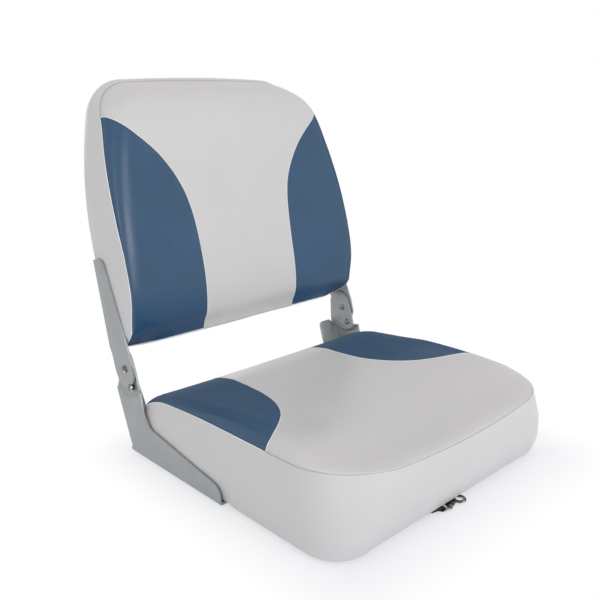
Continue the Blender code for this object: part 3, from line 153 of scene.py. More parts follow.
BACK = {
    "low": {
        "half": 0.2068, "front": 0.027, "rear": 0.381, "front_corner": 0.024,
        "rear_corner": 0.046, "front_bow": 0.0, "rear_bow": 0.006, "taper": 0.042,
        "taper_start": 0.165, "taper_end": 0.381,
    },
    "seam": {
        "half": 0.2027, "front": 0.027, "rear": 0.3765, "front_corner": 0.013,
        "rear_corner": 0.056, "front_bow": 0.0, "rear_bow": 0.006, "taper": 0.0355,
        "taper_start": 0.165, "taper_end": 0.3765,
    },
    "underside": -0.0286, "roll": 0.005, "side_bulge": 0.003, "end_bulge": 0.003, "seed": 5.3,
    "insert": (
        (0.0832, -0.008), (0.0832, 0.025), (0.0829, 0.055), (0.0823, 0.083), (0.0820, 0.112),
        (0.0823, 0.140), (0.0838, 0.168), (0.0870, 0.194), (0.0928, 0.2165), (0.1025, 0.238),
        (0.1145, 0.2565), (0.1280, 0.273), (0.1448, 0.2887), (0.1625, 0.3035), (0.178, 0.3175),
        (0.195, 0.335),
    ),
}
SEAT_FRONT_DROP = ((0.0, 1.0), (0.08, 0.9), (0.33, 0.0), (1.0, 0.0))
SEAT_REAR_DROP = (
    (0.0, 0.0), (0.6, 0.03), (0.78, 0.14), (0.87, 0.26), (0.93, 0.52), (0.98, 0.89), (1.0, 1.0),
)
SEAT_RIDGE = (
    (0.0, 0.1), (0.136, 0.54), (0.233, 0.86), (0.33, 1.0), (0.544, 0.98),
    (0.68, 0.68), (0.767, 0.50), (0.893, 0.25), (0.971, 0.0),
)
BACK_SEAM = (
    (0.0, 0.29), (0.029, 0.52), (0.094, 0.72), (0.152, 0.89), (0.209, 0.98), (0.28, 1.0),
    (0.352, 0.98), (0.423, 0.92), (0.495, 0.85), (0.567, 0.76), (0.638, 0.66), (0.71, 0.56),
    (0.781, 0.47), (0.824, 0.38), (0.853, 0.29), (0.881, 0.18), (0.91, 0.04), (0.944, -0.16),
    (0.973, -0.32), (1.0, -0.42),
)
BACK_FACE = (
    (0.0, 0.31), (0.03, 0.48), (0.065, 0.68), (0.12, 0.83), (0.2, 0.935), (0.33, 0.985),
    (0.55, 0.98), (0.77, 1.0), (0.85, 0.9), (0.91, 0.66), (0.96, 0.26), (0.985, -0.1), (1.0, -0.46),
)
BACK_RIDGE = ((0.0, 0.0), (0.1, 0.7), (0.2, 1.0), (0.5, 1.0), (0.7, 0.5), (0.9, 0.0), (1.0, 0.0))
# Heights of the seams and padded faces, in each cushion's own frame
SEAT_SEAM_LEVEL = 0.097
SEAT_FRONT_DIP = 0.003
SEAT_CORNER_RISE = 0.005  # from the middle of the front seam to its corners
SEAT_CORNER_REACH = 0.15
SEAT_SEAM_FALL = 0.031
SEAT_FACE_LEVEL = 0.090
SEAT_CROWN, SEAT_CROWN_LENGTH = 0.008, 0.045  # the fullness behind the front seam
SEAT_RIDGE_RISE, SEAT_RIDGE_PLACE = 0.024, 0.183
SEAT_FACE_FALL, SEAT_FALL_START, SEAT_FALL_LENGTH = 0.012, 0.120, 0.063
BACK_SEAM_LEVEL = 0.0425
BACK_CORNER_DROP = 0.020  # at the lower corners the seam runs down towards the board
BACK_CORNER_PLACE, BACK_CORNER_WIDTH = 0.150, 0.045
BACK_CORNER_TOP, BACK_CORNER_HEIGHT = 0.047, 0.020
BACK_FACE_LEVEL = 0.0385
BACK_RIDGE_RISE, BACK_RIDGE_PLACE = 0.010, 0.186
CREST = 0.16  # how far to either side a ridge is rounded off, as a share of its place


def crested(share):
    """A share held at 1 past a ridge, with the crest between rounded off."""
    close = max(CREST - abs(share - 1.0), 0.0)
    return min(share, 1.0) - close**2 / (4 * CREST)


def edge_rise(reach):
    """How full the padded edge is at a distance inside the seam."""
    left = 1.0 - min(reach / EDGE_WIDTH, 1.0)
    return math.sqrt(1.0 - left**2)


def eased(value):
    share = max(0.0, min(1.0, value))
    return share * share * (3 - 2 * share)


def share_along(shape, along):
    """How far from a cushion's front or bottom seam to its rear or top one a place lies."""
    seam = shape["seam"]
    return (along - seam["front"]) / (seam["rear"] - seam["front"])


def seat_seam_height(across, along):
    share = share_along(SEAT, along)
    rise = SEAT_CORNER_RISE * min(1.0, abs(across) / SEAT_CORNER_REACH) ** 2
    drop = (SEAT_FRONT_DIP - rise) * table_curve(SEAT_FRONT_DROP, share)
    return SEAT_SEAM_LEVEL - drop - SEAT_SEAM_FALL * table_curve(SEAT_REAR_DROP, share)


def seat_face(across, along):
    share = share_along(SEAT, along)
    behind = (along - SEAT["seam"]["front"]) / SEAT_CROWN_LENGTH
    crown = SEAT_CROWN * math.exp(-(behind**2))
    out = crested(abs(across) / SEAT_RIDGE_PLACE) ** 2.3
    ridge = SEAT_RIDGE_RISE * table_curve(SEAT_RIDGE, share) * out
    fall = SEAT_FACE_FALL * max(0.0, (along - SEAT_FALL_START) / SEAT_FALL_LENGTH) ** 1.5
    return SEAT_FACE_LEVEL + crown + ridge - fall


def back_seam_height(across, along):
    corner = eased((abs(across) - BACK_CORNER_PLACE) / BACK_CORNER_WIDTH)
    corner *= min(1.0, max(0.0, (BACK_CORNER_TOP - along) / BACK_CORNER_HEIGHT)) ** 1.5
    level = BACK_SEAM_LEVEL * table_curve(BACK_SEAM, share_along(BACK, along))
    return level - BACK_CORNER_DROP * corner


def back_face(across, along):
    share = share_along(BACK, along)
    ridge = BACK_RIDGE_RISE * table_curve(BACK_RIDGE, share)
    ridge *= crested(abs(across) / BACK_RIDGE_PLACE) ** 4
    return BACK_FACE_LEVEL * table_curve(BACK_FACE, share) + ridge


SEAT.update(seam_height=seat_seam_height, face=seat_face, frame=Matrix.Identity(4))
BACK.update(seam_height=back_seam_height, face=back_face, frame=BACK_FRAME)

QUARTER_ARC = 0.5523  # a curve's handle that makes its corner nearly round
RING_COUNTS = (34, 26, 44, 26, 30)  # points: half front, corner, side, corner, half rear
SMOOTH_STEPS = 40


def side_half(level, along):
    past = max(0.0, (along - level["taper_start"]) / (level["taper_end"] - level["taper_start"]))
    return level["half"] - level["taper"] * past**2


def half_outline(level, counts):
    """The +X half of a cushion's outline, from front centre round to rear centre."""

    def front(across):
        return level["front"] + level["front_bow"] * (across / level["half"]) ** 2

    def rear(across):
        return level["rear"] - level["rear_bow"] * (across / rear_half) ** 2

    def corner(start, middle, end, count):
        points = []
        first = start + (middle - start) * QUARTER_ARC
        second = end + (middle - end) * QUARTER_ARC
        for index in range(count):
            t = index / count
            points.append(
                start * (1 - t) ** 3 + first * 3 * t * (1 - t) ** 2
                + second * 3 * t * t * (1 - t) + end * t**3
            )
        return points

    rear_half = side_half(level, level["rear"] - level["rear_corner"] / 2)
    front_start = level["half"] - level["front_corner"]
    front_end = front(level["half"]) + level["front_corner"]
    rear_start = rear(rear_half) - level["rear_corner"]
    rear_end = rear_half - level["rear_corner"]
    points = []
    for index in range(counts[0]):
        across = front_start * index / counts[0]
        points.append(Vector((across, front(across))))
    points += corner(
        Vector((front_start, front(front_start))), Vector((level["half"], front(level["half"]))),
        Vector((side_half(level, front_end), front_end)), counts[1],
    )
    for index in range(counts[2]):
        along = front_end + (rear_start - front_end) * index / counts[2]
        points.append(Vector((side_half(level, along), along)))
    points += corner(
        Vector((side_half(level, rear_start), rear_start)), Vector((rear_half, rear(rear_half))),
        Vector((rear_end, rear(rear_end))), counts[3],
    )
    for index in range(counts[4] + 1):
        across = rear_end * (1 - index / counts[4])
        points.append(Vector((across, rear(across))))
    return points


def whole_ring(level):
    half = half_outline(level, RING_COUNTS)
    return half + mirrored(reversed(half[1:-1]))


def outward(ring):
    facing = []
    for index in range(len(ring)):
        run = (ring[(index + 1) % len(ring)] - ring[index - 1]).normalized()
        facing.append(Vector((run.y, -run.x)))
    return facing


def distance_to(path, points):
    """Distance of many points to a closed outline, and the place on it nearest to each."""
    spots = np.array([tuple(p) for p in points])
    start = np.array([tuple(p) for p in path])
    run = np.roll(start, -1, axis=0) - start
    length = (run**2).sum(1)
    best = np.full(len(spots), 1e9)
    where = np.zeros(len(spots))
    for index in range(len(start)):
        away = spots - start[index]
        t = np.clip((away @ run[index]) / max(length[index], 1e-16), 0, 1)
        gap = np.hypot(*(away - t[:, None] * run[index]).T)
        closer = gap < best
        best = np.where(closer, gap, best)
        where = np.where(closer, index + t, where)
    return best, where


def inside(path, points):
    """Which points lie inside a closed outline."""
    spots = np.array([tuple(p) for p in points])
    shape = np.array([tuple(p) for p in path])
    found = np.zeros(len(spots), bool)
    after = np.roll(shape, -1, axis=0)
    for (x1, y1), (x2, y2) in zip(shape, after):
        if y1 == y2:
            continue
        crosses = (y1 > spots[:, 1]) != (y2 > spots[:, 1])
        at = (x2 - x1) * (spots[:, 1] - y1) / (y2 - y1) + x1
        found ^= crosses & (spots[:, 0] < at)
    return found


def smooth_path(points, spacing):
    """A path with evenly spaced points on a smooth curve through the given ones."""
    dense = []
    for index in range(len(points) - 1):
        before = Vector(points[max(index - 1, 0)])
        here = Vector(points[index])
        there = Vector(points[index + 1])
        after = Vector(points[min(index + 2, len(points) - 1)])
        leave = (there - before) / 2
        arrive = (after - here) / 2
        for part in range(SMOOTH_STEPS):
            t = part / SMOOTH_STEPS
            spot = here * (2 * t**3 - 3 * t**2 + 1) + leave * (t**3 - 2 * t**2 + t)
            dense.append(spot + there * (3 * t**2 - 2 * t**3) + arrive * (t**3 - t**2))
    dense.append(Vector(points[-1]))
    return respaced(dense, spacing)


def respaced(dense, spacing):
    lengths = [0.0]
    for one, two in zip(dense, dense[1:]):
        lengths.append(lengths[-1] + (two - one).length)
    count = max(2, round(lengths[-1] / spacing))
    path = []
    index = 0
    for step in range(count + 1):
        reach = lengths[-1] * step / count
        while index < len(lengths) - 2 and lengths[index + 1] < reach:
            index += 1
        span = lengths[index + 1] - lengths[index]
        t = (reach - lengths[index]) / span if span else 0.0
        path.append(dense[index].lerp(dense[index + 1], t))
    return path


INSERT_PITCH = 0.0025
NEAR_END = 0.001  # a point closer than this to the end of its seam is left out


def plan(shape):
    """Outlines of the sewn panels: the pale top, and the +X navy insert; -X is its mirror."""
    seam = whole_ring(shape["seam"])
    facing = outward(seam)
    edge = [p - way * SEAM_ROLL * EDGE_INSET for p, way in zip(seam, facing)]
    band = smooth_path(shape["insert"], INSERT_PITCH)
    kept = [p for p, within in zip(band, inside(edge, band)) if within]
    _, places = distance_to(edge, [kept[0], kept[-1]])
    first, last = (
        edge[int(place)].lerp(edge[(int(place) + 1) % len(edge)], place - int(place))
        for place in places
    )
    if (kept[0] - first).length < NEAR_END:
        kept = kept[1:]
    if (kept[-1] - last).length < NEAR_END:
        kept = kept[:-1]
    curve = [first, *kept, last]
    # The insert closes along the outer seam, from the curve's last point back to its first
    start, end = (int(place) + 1 for place in places)
    insert = curve + edge[start:end][::-1]
    right = edge[:start] + curve + edge[end : len(edge) // 2 + 1]
    top = right + mirrored(reversed(right[1:-1]))
    return {
        "seam": seam, "facing": facing, "edge": edge, "curve": curve, "insert": insert, "top": top
    }


LEAST_GAP = 0.0006  # between the points of a panel's outline


def tidy_loop(loop):
    kept = []
    for p in loop:
        if not kept or (p - kept[-1]).length > LEAST_GAP:
            kept.append(p)
    while len(kept) > 3 and (kept[0] - kept[-1]).length < LEAST_GAP:
        kept.pop()
    return kept


def area(loop):
    return sum(a.x * b.y - b.x * a.y for a, b in zip(loop, loop[1:] + loop[:1])) / 2


EDGE_ROWS = (0.0003, 0.0007, 0.0012, 0.002, 0.0035, 0.006)  # rows of points by a sewn edge
PANEL_PITCH = 0.0045
PANEL_ROW = 0.866 * PANEL_PITCH  # between the rows of an even triangle grid
PANEL_MARGIN = 0.0085  # from the sewn edge to the grid
GRID_START = -0.25


def panel_mesh(loop):
    """A triangulated panel with rows of points along its sewn edge."""
    loop = tidy_loop(loop)
    if area(loop) < 0:
        loop = loop[::-1]
    facing = outward(loop)
    points = list(loop)
    count = len(loop)
    edges = []
    for depth in EDGE_ROWS:
        row = [p - way * depth for p, way in zip(loop, facing)]
        gaps, _ = distance_to(loop, row)
        numbers = [None] * count
        for index in range(count):
            if gaps[index] > depth * 0.9:
                numbers[index] = len(points)
                points.append(row[index])
        for number, after in zip(numbers, numbers[1:] + numbers[:1]):
            if number is not None and after is not None:
                edges.append((number, after))
    xs = [p.x for p in loop]
    ys = [p.y for p in loop]
    grid = []
    row = 0
    y = min(ys)
    while y < max(ys):
        x = GRID_START + (PANEL_PITCH / 2 if row % 2 else 0.0)
        while x < max(xs):
            if x > min(xs):
                grid.append(Vector((x, y)))
            x += PANEL_PITCH
        y += PANEL_ROW
        row += 1
    gaps, _ = distance_to(loop, grid)
    within = inside(loop, grid)
    points += [p for p, gap, fine in zip(grid, gaps, within) if fine and gap > PANEL_MARGIN]
    verts, _, faces, *_ = delaunay_2d_cdt(points, edges, [list(range(count))], 1, 1e-7)
    return verts, faces, loop


FACE_SLACK, SLACK_START = 0.0005, 0.05  # undulation of a face, full this far from the seam
PUCKER, PUCKER_REACH = 0.00035, 0.012


def gathers(across, along, reach):
    """Small soft puckers of the vinyl beside a seam, fading with the distance."""
    ripple = noise.noise(Vector((across * 85, along * 85, 3.1)))
    return PUCKER * ripple * math.exp(-reach / PUCKER_REACH)


def slack(across, along, size, seed):
    """Slow, shallow undulation of stretched vinyl over foam."""
    near = noise.noise(Vector((across * 14, along * 14, seed)))
    far = noise.noise(Vector((across * 34, along * 30, seed + 7)))
    return size * (near + 0.35 * far)


def face_points(shape, sewn, flat, loop=None, roll=0.0):
    """Points on the padded face, rounded over along a panel's sewn edge where one is given."""
    seam_gap, place = distance_to(sewn["edge"], flat)
    edge_gap = distance_to(loop, flat)[0] if loop else np.full(len(flat), math.inf)
    seam = sewn["seam"]
    count = len(seam)
    points = []
    for p, reach, at, close in zip(flat, seam_gap, place, edge_gap):
        index = int(at) % count
        base = seam[index].lerp(seam[(index + 1) % count], at - int(at))
        low = shape["seam_height"](base.x, base.y)
        loose = slack(p.x, p.y, FACE_SLACK, shape["seed"]) * min(1, reach / SLACK_START)
        full = shape["face"](p.x, p.y) + loose
        height = low + (full - low) * edge_rise(reach) + gathers(p.x, p.y, close)
        if close < roll:
            height -= roll - math.sqrt(max(roll * roll - (roll - close) ** 2, 0.0))
        points.append(Vector((p.x, p.y, height)))
    return points


def panel(name, shape, sewn, loop):
    flat, faces, border = panel_mesh(loop)
    flat = [Vector(p) for p in flat]
    points = face_points(shape, sewn, flat, border, SEAM_ROLL)
    made = add_piece(name, points, faces)
    turn_in(made)
    made.data.transform(shape["frame"])
    return made


def turn_in(made):
    """Turns a panel's open edge down into the cushion, as a sewn allowance."""
    work = bmesh.new()
    work.from_mesh(made.data)
    bmesh.ops.recalc_face_normals(work, faces=work.faces)
    if sum(face.normal.z for face in work.faces) < 0:
        bmesh.ops.reverse_faces(work, faces=work.faces)
    rim = [edge for edge in work.edges if edge.is_boundary]
    grown = bmesh.ops.extrude_edge_only(work, edges=rim)
    for vert in (g for g in grown["geom"] if isinstance(g, bmesh.types.BMVert)):
        vert.co.z -= FLAP
    work.to_mesh(made.data)
    work.free()


ARMS_ROOM, ARMS_FADE = 0.0038, 0.018  # how much further out the side comes past the arms
HEM_HANG = 0.0024
HEM_HANG_FADE, HEM_HANG_PLACE, HEM_HANG_WIDTH = 0.016, 0.135, 0.045
HEM_WIDTH, HEM_CORNER, HEM_LIP = 0.030, 0.006, 0.0011
BOXING_SAG = 0.85
BOXING_SLACK, BOXING_STREAK = 0.0007, 0.0009
BOXING_ROWS = 14
LOW_SIDE, FULL_SIDE = 0.012, 0.030  # a side lower than these has closer rows, less swell
ROLL_STEPS = 6
SEAM_ROWS = (0.006, 0.004, 0.0026, 0.0017, 0.0011, 0.0007, 0.0004, 0.0001)  # below the seam


def boxing_limit(shape, along):
    """How far out the side may come: the arms hold the back in at its lower half."""
    if shape is SEAT or along < ARMS_END:
        return BRACKET_LIMIT
    return BRACKET_LIMIT + ARMS_ROOM * min(1.0, (along - ARMS_END) / ARMS_FADE) ** 1.5


def hem_drop(shape, spot):
    """How far the seat's side edges hang below its base, ahead of the brackets' feet."""
    if shape is not SEAT:
        return 0.0
    aside = eased((abs(spot.x) - HEM_HANG_PLACE) / HEM_HANG_WIDTH)
    return HEM_HANG * eased(-spot.y / HEM_HANG_FADE) * aside


def hem_outline(shape):
    """The edge of the hem underneath, inside the lower roll."""
    hem = dict(shape["low"])
    step = shape["roll"] + HEM_WIDTH
    hem["half"] -= step
    hem["front"] += step
    hem["rear"] -= step
    for corner in ("front_corner", "rear_corner"):
        hem[corner] = max(hem[corner] - step, HEM_CORNER)
    return whole_ring(hem)


def boxing(name, shape, sewn):
    """The side band from the seam down round the lower roll to the hem underneath."""
    low = whole_ring(shape["low"])
    low_out = outward(low)
    seam, facing = sewn["seam"], sewn["facing"]
    floor, roll = shape["underside"], shape["roll"]
    heights = [shape["seam_height"](p.x, p.y) for p in seam]
    hang = [hem_drop(shape, p) for p in low]

    def lower(share, level):
        return [
            Vector((*(p - way * roll * share), level - drop))
            for p, way, drop in zip(low, low_out, hang)
        ]

    hem = hem_outline(shape)
    rows = [[Vector((*p, level)) for p in hem] for level in (floor + HEM_LIP, floor)]
    under = lower(1.0, floor)
    for part in (0.25, 0.5, 0.75):
        rows.append([Vector((*p, floor)).lerp(q, part) for p, q in zip(hem, under)])
    for index in range(ROLL_STEPS + 1):
        angle = math.pi / 2 * index / ROLL_STEPS
        rows.append(lower(1 - math.sin(angle), floor + roll * (1 - math.cos(angle))))

    def band(share, drop):
        ring = []
        for base, edge, way, height, droop in zip(low, seam, facing, heights, hang):
            foot = floor + roll - droop
            tall = height - foot
            near = drop * min(1.0, tall / LOW_SIDE)
            level = height - near - (1 - share) * (height - near - foot)
            part = (level - foot) / tall
            swell = shape["side_bulge"] + (shape["end_bulge"] - shape["side_bulge"]) * way.y**2
            swell *= math.sin(math.pi * part**BOXING_SAG) * min(1.0, tall / FULL_SIDE)
            middle = math.sin(math.pi * part)
            streak = Vector((level * 70, (base.x + base.y) * 11, shape["seed"] + 4))
            loose = slack(base.x + level, base.y - level, BOXING_SLACK, shape["seed"] + 2)
            ripple = loose * middle + BOXING_STREAK * middle * noise.noise(streak)
            closeness = max(0.0, height - level)
            pull = gathers(edge.x + edge.y, level, closeness)
            flat = base.lerp(edge, part) + way * (swell + ripple + pull)
            if closeness < SEAM_ROLL:
                inner = SEAM_ROLL - math.sqrt(SEAM_ROLL**2 - (SEAM_ROLL - closeness) ** 2)
                flat -= way * inner
            limit = boxing_limit(shape, flat.y)
            flat.x = max(-limit, min(limit, flat.x))
            ring.append(Vector((*flat, level)))
        return ring

    for index in range(1, BOXING_ROWS):
        rows.append(band(index / BOXING_ROWS, SEAM_ROWS[0]))
    for drop in SEAM_ROWS:
        rows.append(band(1.0, drop))
    tucked = [Vector((-way.x, -way.y, -1.0)) * FLAP * 0.7 for way in facing]
    rows.append([p + step for p, step in zip(rows[-1], tucked)])
    count = len(seam)
    points = [p for ring in rows for p in ring]
    faces = []
    for level in range(len(rows) - 1):
        for index in range(count):
            after = (index + 1) % count
            base = level * count
            faces.append((base + index, base + after, base + count + after, base + count + index))
    made = add_piece(name, points, faces)
    made.data.transform(shape["frame"])
    return made


def thread(name, path, facing, pitch, length, thick, sink):
    """A row of small stitches along a seam: one modelled stitch, copied along the path."""
    deselect()
    bpy.ops.mesh.primitive_cylinder_add(
        vertices=6, radius=thick / 2, depth=length, rotation=(0, math.pi / 2, 0)
    )
    stitch = bpy.context.active_object
    bpy.ops.object.transform_apply(location=True, rotation=True, scale=True)
    bpy.ops.object.mode_set(mode="EDIT")
    bpy.ops.mesh.select_all(action="SELECT")
    bpy.ops.mesh.bevel(offset=thick * 0.28, segments=1, affect="EDGES")
    bpy.ops.object.mode_set(mode="OBJECT")
    base = np.array([tuple(v.co) for v in stitch.data.vertices])
    shapes = [tuple(f.vertices) for f in stitch.data.polygons]
    bpy.data.objects.remove(stitch, do_unlink=True)
    lengths = np.cumsum([0.0] + [(b - a).length for a, b in zip(path, path[1:])])
    total = lengths[-1]
    number = int(total / pitch)
    points, faces = [], []
    for step in range(number):
        reach = (step + 0.5) * total / number
        index = min(int(np.searchsorted(lengths, reach)) - 1, len(path) - 2)
        t = (reach - lengths[index]) / (lengths[index + 1] - lengths[index])
        spot = path[index].lerp(path[index + 1], t)
        run = (path[index + 1] - path[index]).normalized()
        up = facing[index].lerp(facing[index + 1], t).normalized()
        side = up.cross(run).normalized()
        up = run.cross(side)
        turn = np.array([tuple(run), tuple(side), tuple(up)])
        start = len(points)
        spot = spot - up * sink
        points += [tuple(row) for row in base @ turn + np.array(tuple(spot))]
        faces += [tuple(start + i for i in f) for f in shapes]
    return add_piece(name, points, faces)


STITCH_SINK = 0.0004  # how deep the outer stitches' line lies in the seam
OUTER_STITCH = {"pitch": 0.0030, "length": 0.0018, "thick": 0.0007, "sink": -0.0001}
INSERT_STITCH = {"pitch": 0.0028, "length": 0.0020, "thick": 0.0008, "sink": 0.0003}
BEAD_SIDES, BEAD_RADIUS = 6, 0.00055
BEAD_OUT, BEAD_SINK = 0.0007, 0.0003
ON_SEAM = 0.0004  # a bead's point closer than this to the outer seam lies on it


def bead(name, path):
    """A fine round edging along a closed path."""
    points, faces = [], []
    count = len(path)
    for index in range(count):
        run = (path[(index + 1) % count] - path[index - 1]).normalized()
        side = run.cross(Vector((0, 0, 1))).normalized()
        up = side.cross(run)
        for turn in range(BEAD_SIDES):
            angle = 2 * math.pi / BEAD_SIDES * turn
            spot = path[index] + side * math.cos(angle) * BEAD_RADIUS
            points.append(spot + up * math.sin(angle) * BEAD_RADIUS)
    for index in range(count):
        here, there = index * BEAD_SIDES, (index + 1) % count * BEAD_SIDES
        for turn in range(BEAD_SIDES):
            after = (turn + 1) % BEAD_SIDES
            faces.append((here + turn, here + after, there + after, there + turn))
    return add_piece(name, points, faces)


def insert_bead(name, shape, sewn):
    """The pale folded edge round each navy panel, painted brighter than the vinyl as a highlight,
    so that it shows as a bright line.
    """
    loop = tidy_loop(sewn["insert"])
    gap, place = distance_to(sewn["edge"], loop)
    facing = sewn["facing"]
    spots = []
    for spot, at, away in zip(face_points(shape, sewn, loop), place, gap):
        way = facing[int(at) % len(facing)] if away < ON_SEAM else Vector((0, 0))
        spots.append((spot.x + way.x * BEAD_OUT, spot.y + way.y * BEAD_OUT, spot.z - BEAD_SINK))
    return [bead(name, [Vector((side * x, y, z)) for x, y, z in spots]) for side in (1, -1)]


def seam_thread(name, shape, sewn):
    """Stitches along the two insert seams with their edging, painted bright as a highlight, and
    dark stitches round the outer seam, whose dark colour is painted shade of the seam's groove.
    """
    path, facing = [], []
    for p, way in zip(sewn["seam"], sewn["facing"]):
        height = shape["seam_height"](p.x, p.y) - STITCH_SINK
        path.append(Vector((*(p - way * STITCH_SINK), height)))
        facing.append(Vector((way.x, way.y, 1.0)).normalized())
    path.append(path[0])
    facing.append(facing[0])
    outer = thread(name + "_outer", path, facing, **OUTER_STITCH)
    heights = face_points(shape, sewn, sewn["curve"])
    rows = []
    for side in (1, -1):
        path = [Vector((p.x * side, p.y, p.z)) for p in heights]
        up = [Vector((0, 0, 1))] * len(path)
        rows.append(thread(name + "_row", path, up, **INSERT_STITCH))
    made = join(rows + insert_bead(name + "_edging", shape, sewn))
    made.name = name
    made.data.transform(shape["frame"])
    outer.data.transform(shape["frame"])
    return made, outer


# Shared shader groups


def new_group(name, inputs, outputs):
    made = bpy.data.node_groups.new(name, "ShaderNodeTree")
    for label, kind, value in inputs:
        socket = made.interface.new_socket(label, in_out="INPUT", socket_type=kind)
        if value is not None:
            socket.default_value = value
    for label, kind in outputs:
        made.interface.new_socket(label, in_out="OUTPUT", socket_type=kind)
    return made, made.nodes.new("NodeGroupInput"), made.nodes.new("NodeGroupOutput")


def feed(tree, socket, value):
    """Sets a socket to a value, or links another socket to it."""
    if isinstance(value, bpy.types.NodeSocket):
        tree.links.new(value, socket)
    else:
        socket.default_value = value


def math_node(tree, operation, first, second, clamp=False):
    made = tree.nodes.new("ShaderNodeMath")
    made.operation = operation
    made.use_clamp = clamp
    feed(tree, made.inputs[0], first)
    feed(tree, made.inputs[1], second)
    return made.outputs[0]


def added(tree, first, *others):
    for other in others:
        first = math_node(tree, "ADD", first, other)
    return first


def times(tree, first, second):
    return math_node(tree, "MULTIPLY", first, second)


def spread(tree, value, low, high, to_low, to_high):
    made = tree.nodes.new("ShaderNodeMapRange")
    made.inputs["From Min"].default_value = low
    made.inputs["From Max"].default_value = high
    made.inputs["To Min"].default_value = to_low
    made.inputs["To Max"].default_value = to_high
    tree.links.new(value, made.inputs["Value"])
    return made.outputs["Result"]


def pattern(tree, kind, place, scale, detail=2.0):
    made = tree.nodes.new(kind)
    tree.links.new(place, made.inputs["Vector"])
    feed(tree, made.inputs["Scale"], scale)
    made.inputs["Detail"].default_value = detail
    return made


def cloudy(tree, place, scale, detail):
    return pattern(tree, "ShaderNodeTexNoise", place, scale, detail).outputs["Fac"]


def drawn_out(tree, place, scale):
    made = tree.nodes.new("ShaderNodeMapping")
    tree.links.new(place, made.inputs["Vector"])
    feed(tree, made.inputs["Scale"], scale)
    return made.outputs["Vector"]


def multiplied(tree, colour, shade):
    made = tree.nodes.new("ShaderNodeMix")
    made.data_type = "RGBA"
    made.blend_type = "MULTIPLY"
    made.inputs["Factor"].default_value = 1.0
    feed(tree, made.inputs["A"], colour)
    feed(tree, made.inputs["B"], shade)
    return made.outputs["Result"]


# What the shared groups give: the lifts of the bump, of the roughness and of the shade
OUTPUTS = tuple((label, "NodeSocketFloat") for label in ("Height", "Roughness", "Shade"))


def vinyl_grain_group():
    """Embossed vinyl grain: pebbles with creases between them, fine pores and slow variation; the
    colour is also darkened in the creases as painted shade.
    """
    tree, enter, leave = new_group(
        "vinyl_grain",
        (("Scale", "NodeSocketFloat", 620.0), ("Tone", "NodeSocketFloat", 0.05)),
        OUTPUTS,
    )
    place = tree.nodes.new("ShaderNodeTexCoord").outputs["Object"]
    cells = pattern(tree, "ShaderNodeTexVoronoi", place, enter.outputs["Scale"])
    cells.feature = "DISTANCE_TO_EDGE"
    crease = spread(tree, cells.outputs["Distance"], 0.0, 0.22, 0.0, 1.0)
    pebble = cloudy(tree, place, 1500.0, 3.0)
    slow = cloudy(tree, place, 26.0, 3.0)
    cloud = cloudy(tree, place, 7.0, 2.0)
    crinkle = cloudy(tree, drawn_out(tree, place, (0.35, 1.0, 1.0)), 420.0, 4.0)
    height = added(
        tree, times(tree, crease, 0.7), times(tree, pebble, 0.5), times(tree, crinkle, 1.6)
    )
    tree.links.new(height, leave.inputs["Height"])
    gloss = added(
        tree, spread(tree, slow, 0.3, 0.7, -0.05, 0.05), spread(tree, crease, 0.0, 1.0, 0.05, 0.0)
    )
    tree.links.new(gloss, leave.inputs["Roughness"])
    tone = added(
        tree,
        spread(tree, cloud, 0.3, 0.7, -1.0, 1.0),
        spread(tree, slow, 0.3, 0.7, -0.5, 0.5),
        # painted shade: the colour is darkened in the grain's creases
        spread(tree, crease, 0.0, 1.0, -1.4, 0.0),
    )
    shade = added(tree, times(tree, tone, enter.outputs["Tone"]), 1.0)
    tree.links.new(shade, leave.inputs["Shade"])
    return tree


def coat_speckle_group():
    """Metal finish: fine speckle, rolling streaks and slow cloudiness."""
    tree, enter, leave = new_group(
        "coat_speckle",
        (("Fine", "NodeSocketFloat", 2400.0), ("Streak", "NodeSocketVector", None)),
        OUTPUTS,
    )
    place = tree.nodes.new("ShaderNodeTexCoord").outputs["Object"]
    fine = cloudy(tree, place, enter.outputs["Fine"], 3.0)
    cloud = cloudy(tree, place, 38.0, 4.0)
    streak = cloudy(tree, drawn_out(tree, place, enter.outputs["Streak"]), 60.0, 3.0)
    tree.links.new(fine, leave.inputs["Height"])
    rough = added(
        tree,
        spread(tree, cloud, 0.3, 0.7, -0.06, 0.08),
        spread(tree, streak, 0.3, 0.7, -0.04, 0.04),
    )
    tree.links.new(rough, leave.inputs["Roughness"])
    shade = added(
        tree,
        spread(tree, cloud, 0.3, 0.7, -0.07, 0.05),
        spread(tree, fine, 0.3, 0.7, -0.06, 0.06),
        spread(tree, streak, 0.3, 0.7, -0.03, 0.03),
        1.0,
    )
    tree.links.new(shade, leave.inputs["Shade"])
    return tree


VINYL_GRAIN = vinyl_grain_group()
COAT_SPECKLE = coat_speckle_group()


def surface(name, colour, roughness, group, group_values, bump, distance, **sockets):
    """A material whose shade, roughness and bump come from a shared group."""
    made = bpy.data.materials.new(name)
    made.use_nodes = True
    tree = made.node_tree
    shader = tree.nodes["Principled BSDF"]
    for label, value in sockets.items():
        shader.inputs[label.replace("_", " ")].default_value = value
    texture = tree.nodes.new("ShaderNodeGroup")
    texture.node_tree = group
    for label, value in group_values.items():
        texture.inputs[label].default_value = value
    tint = multiplied(tree, (*colour, 1.0), texture.outputs["Shade"])
    tree.links.new(tint, shader.inputs["Base Color"])
    gloss = math_node(tree, "ADD", texture.outputs["Roughness"], roughness, clamp=True)
    tree.links.new(gloss, shader.inputs["Roughness"])
    raised = tree.nodes.new("ShaderNodeBump")
    raised.inputs["Strength"].default_value = bump
    raised.inputs["Distance"].default_value = distance
    tree.links.new(texture.outputs["Height"], raised.inputs["Height"])
    tree.links.new(raised.outputs["Normal"], shader.inputs["Normal"])
    return made


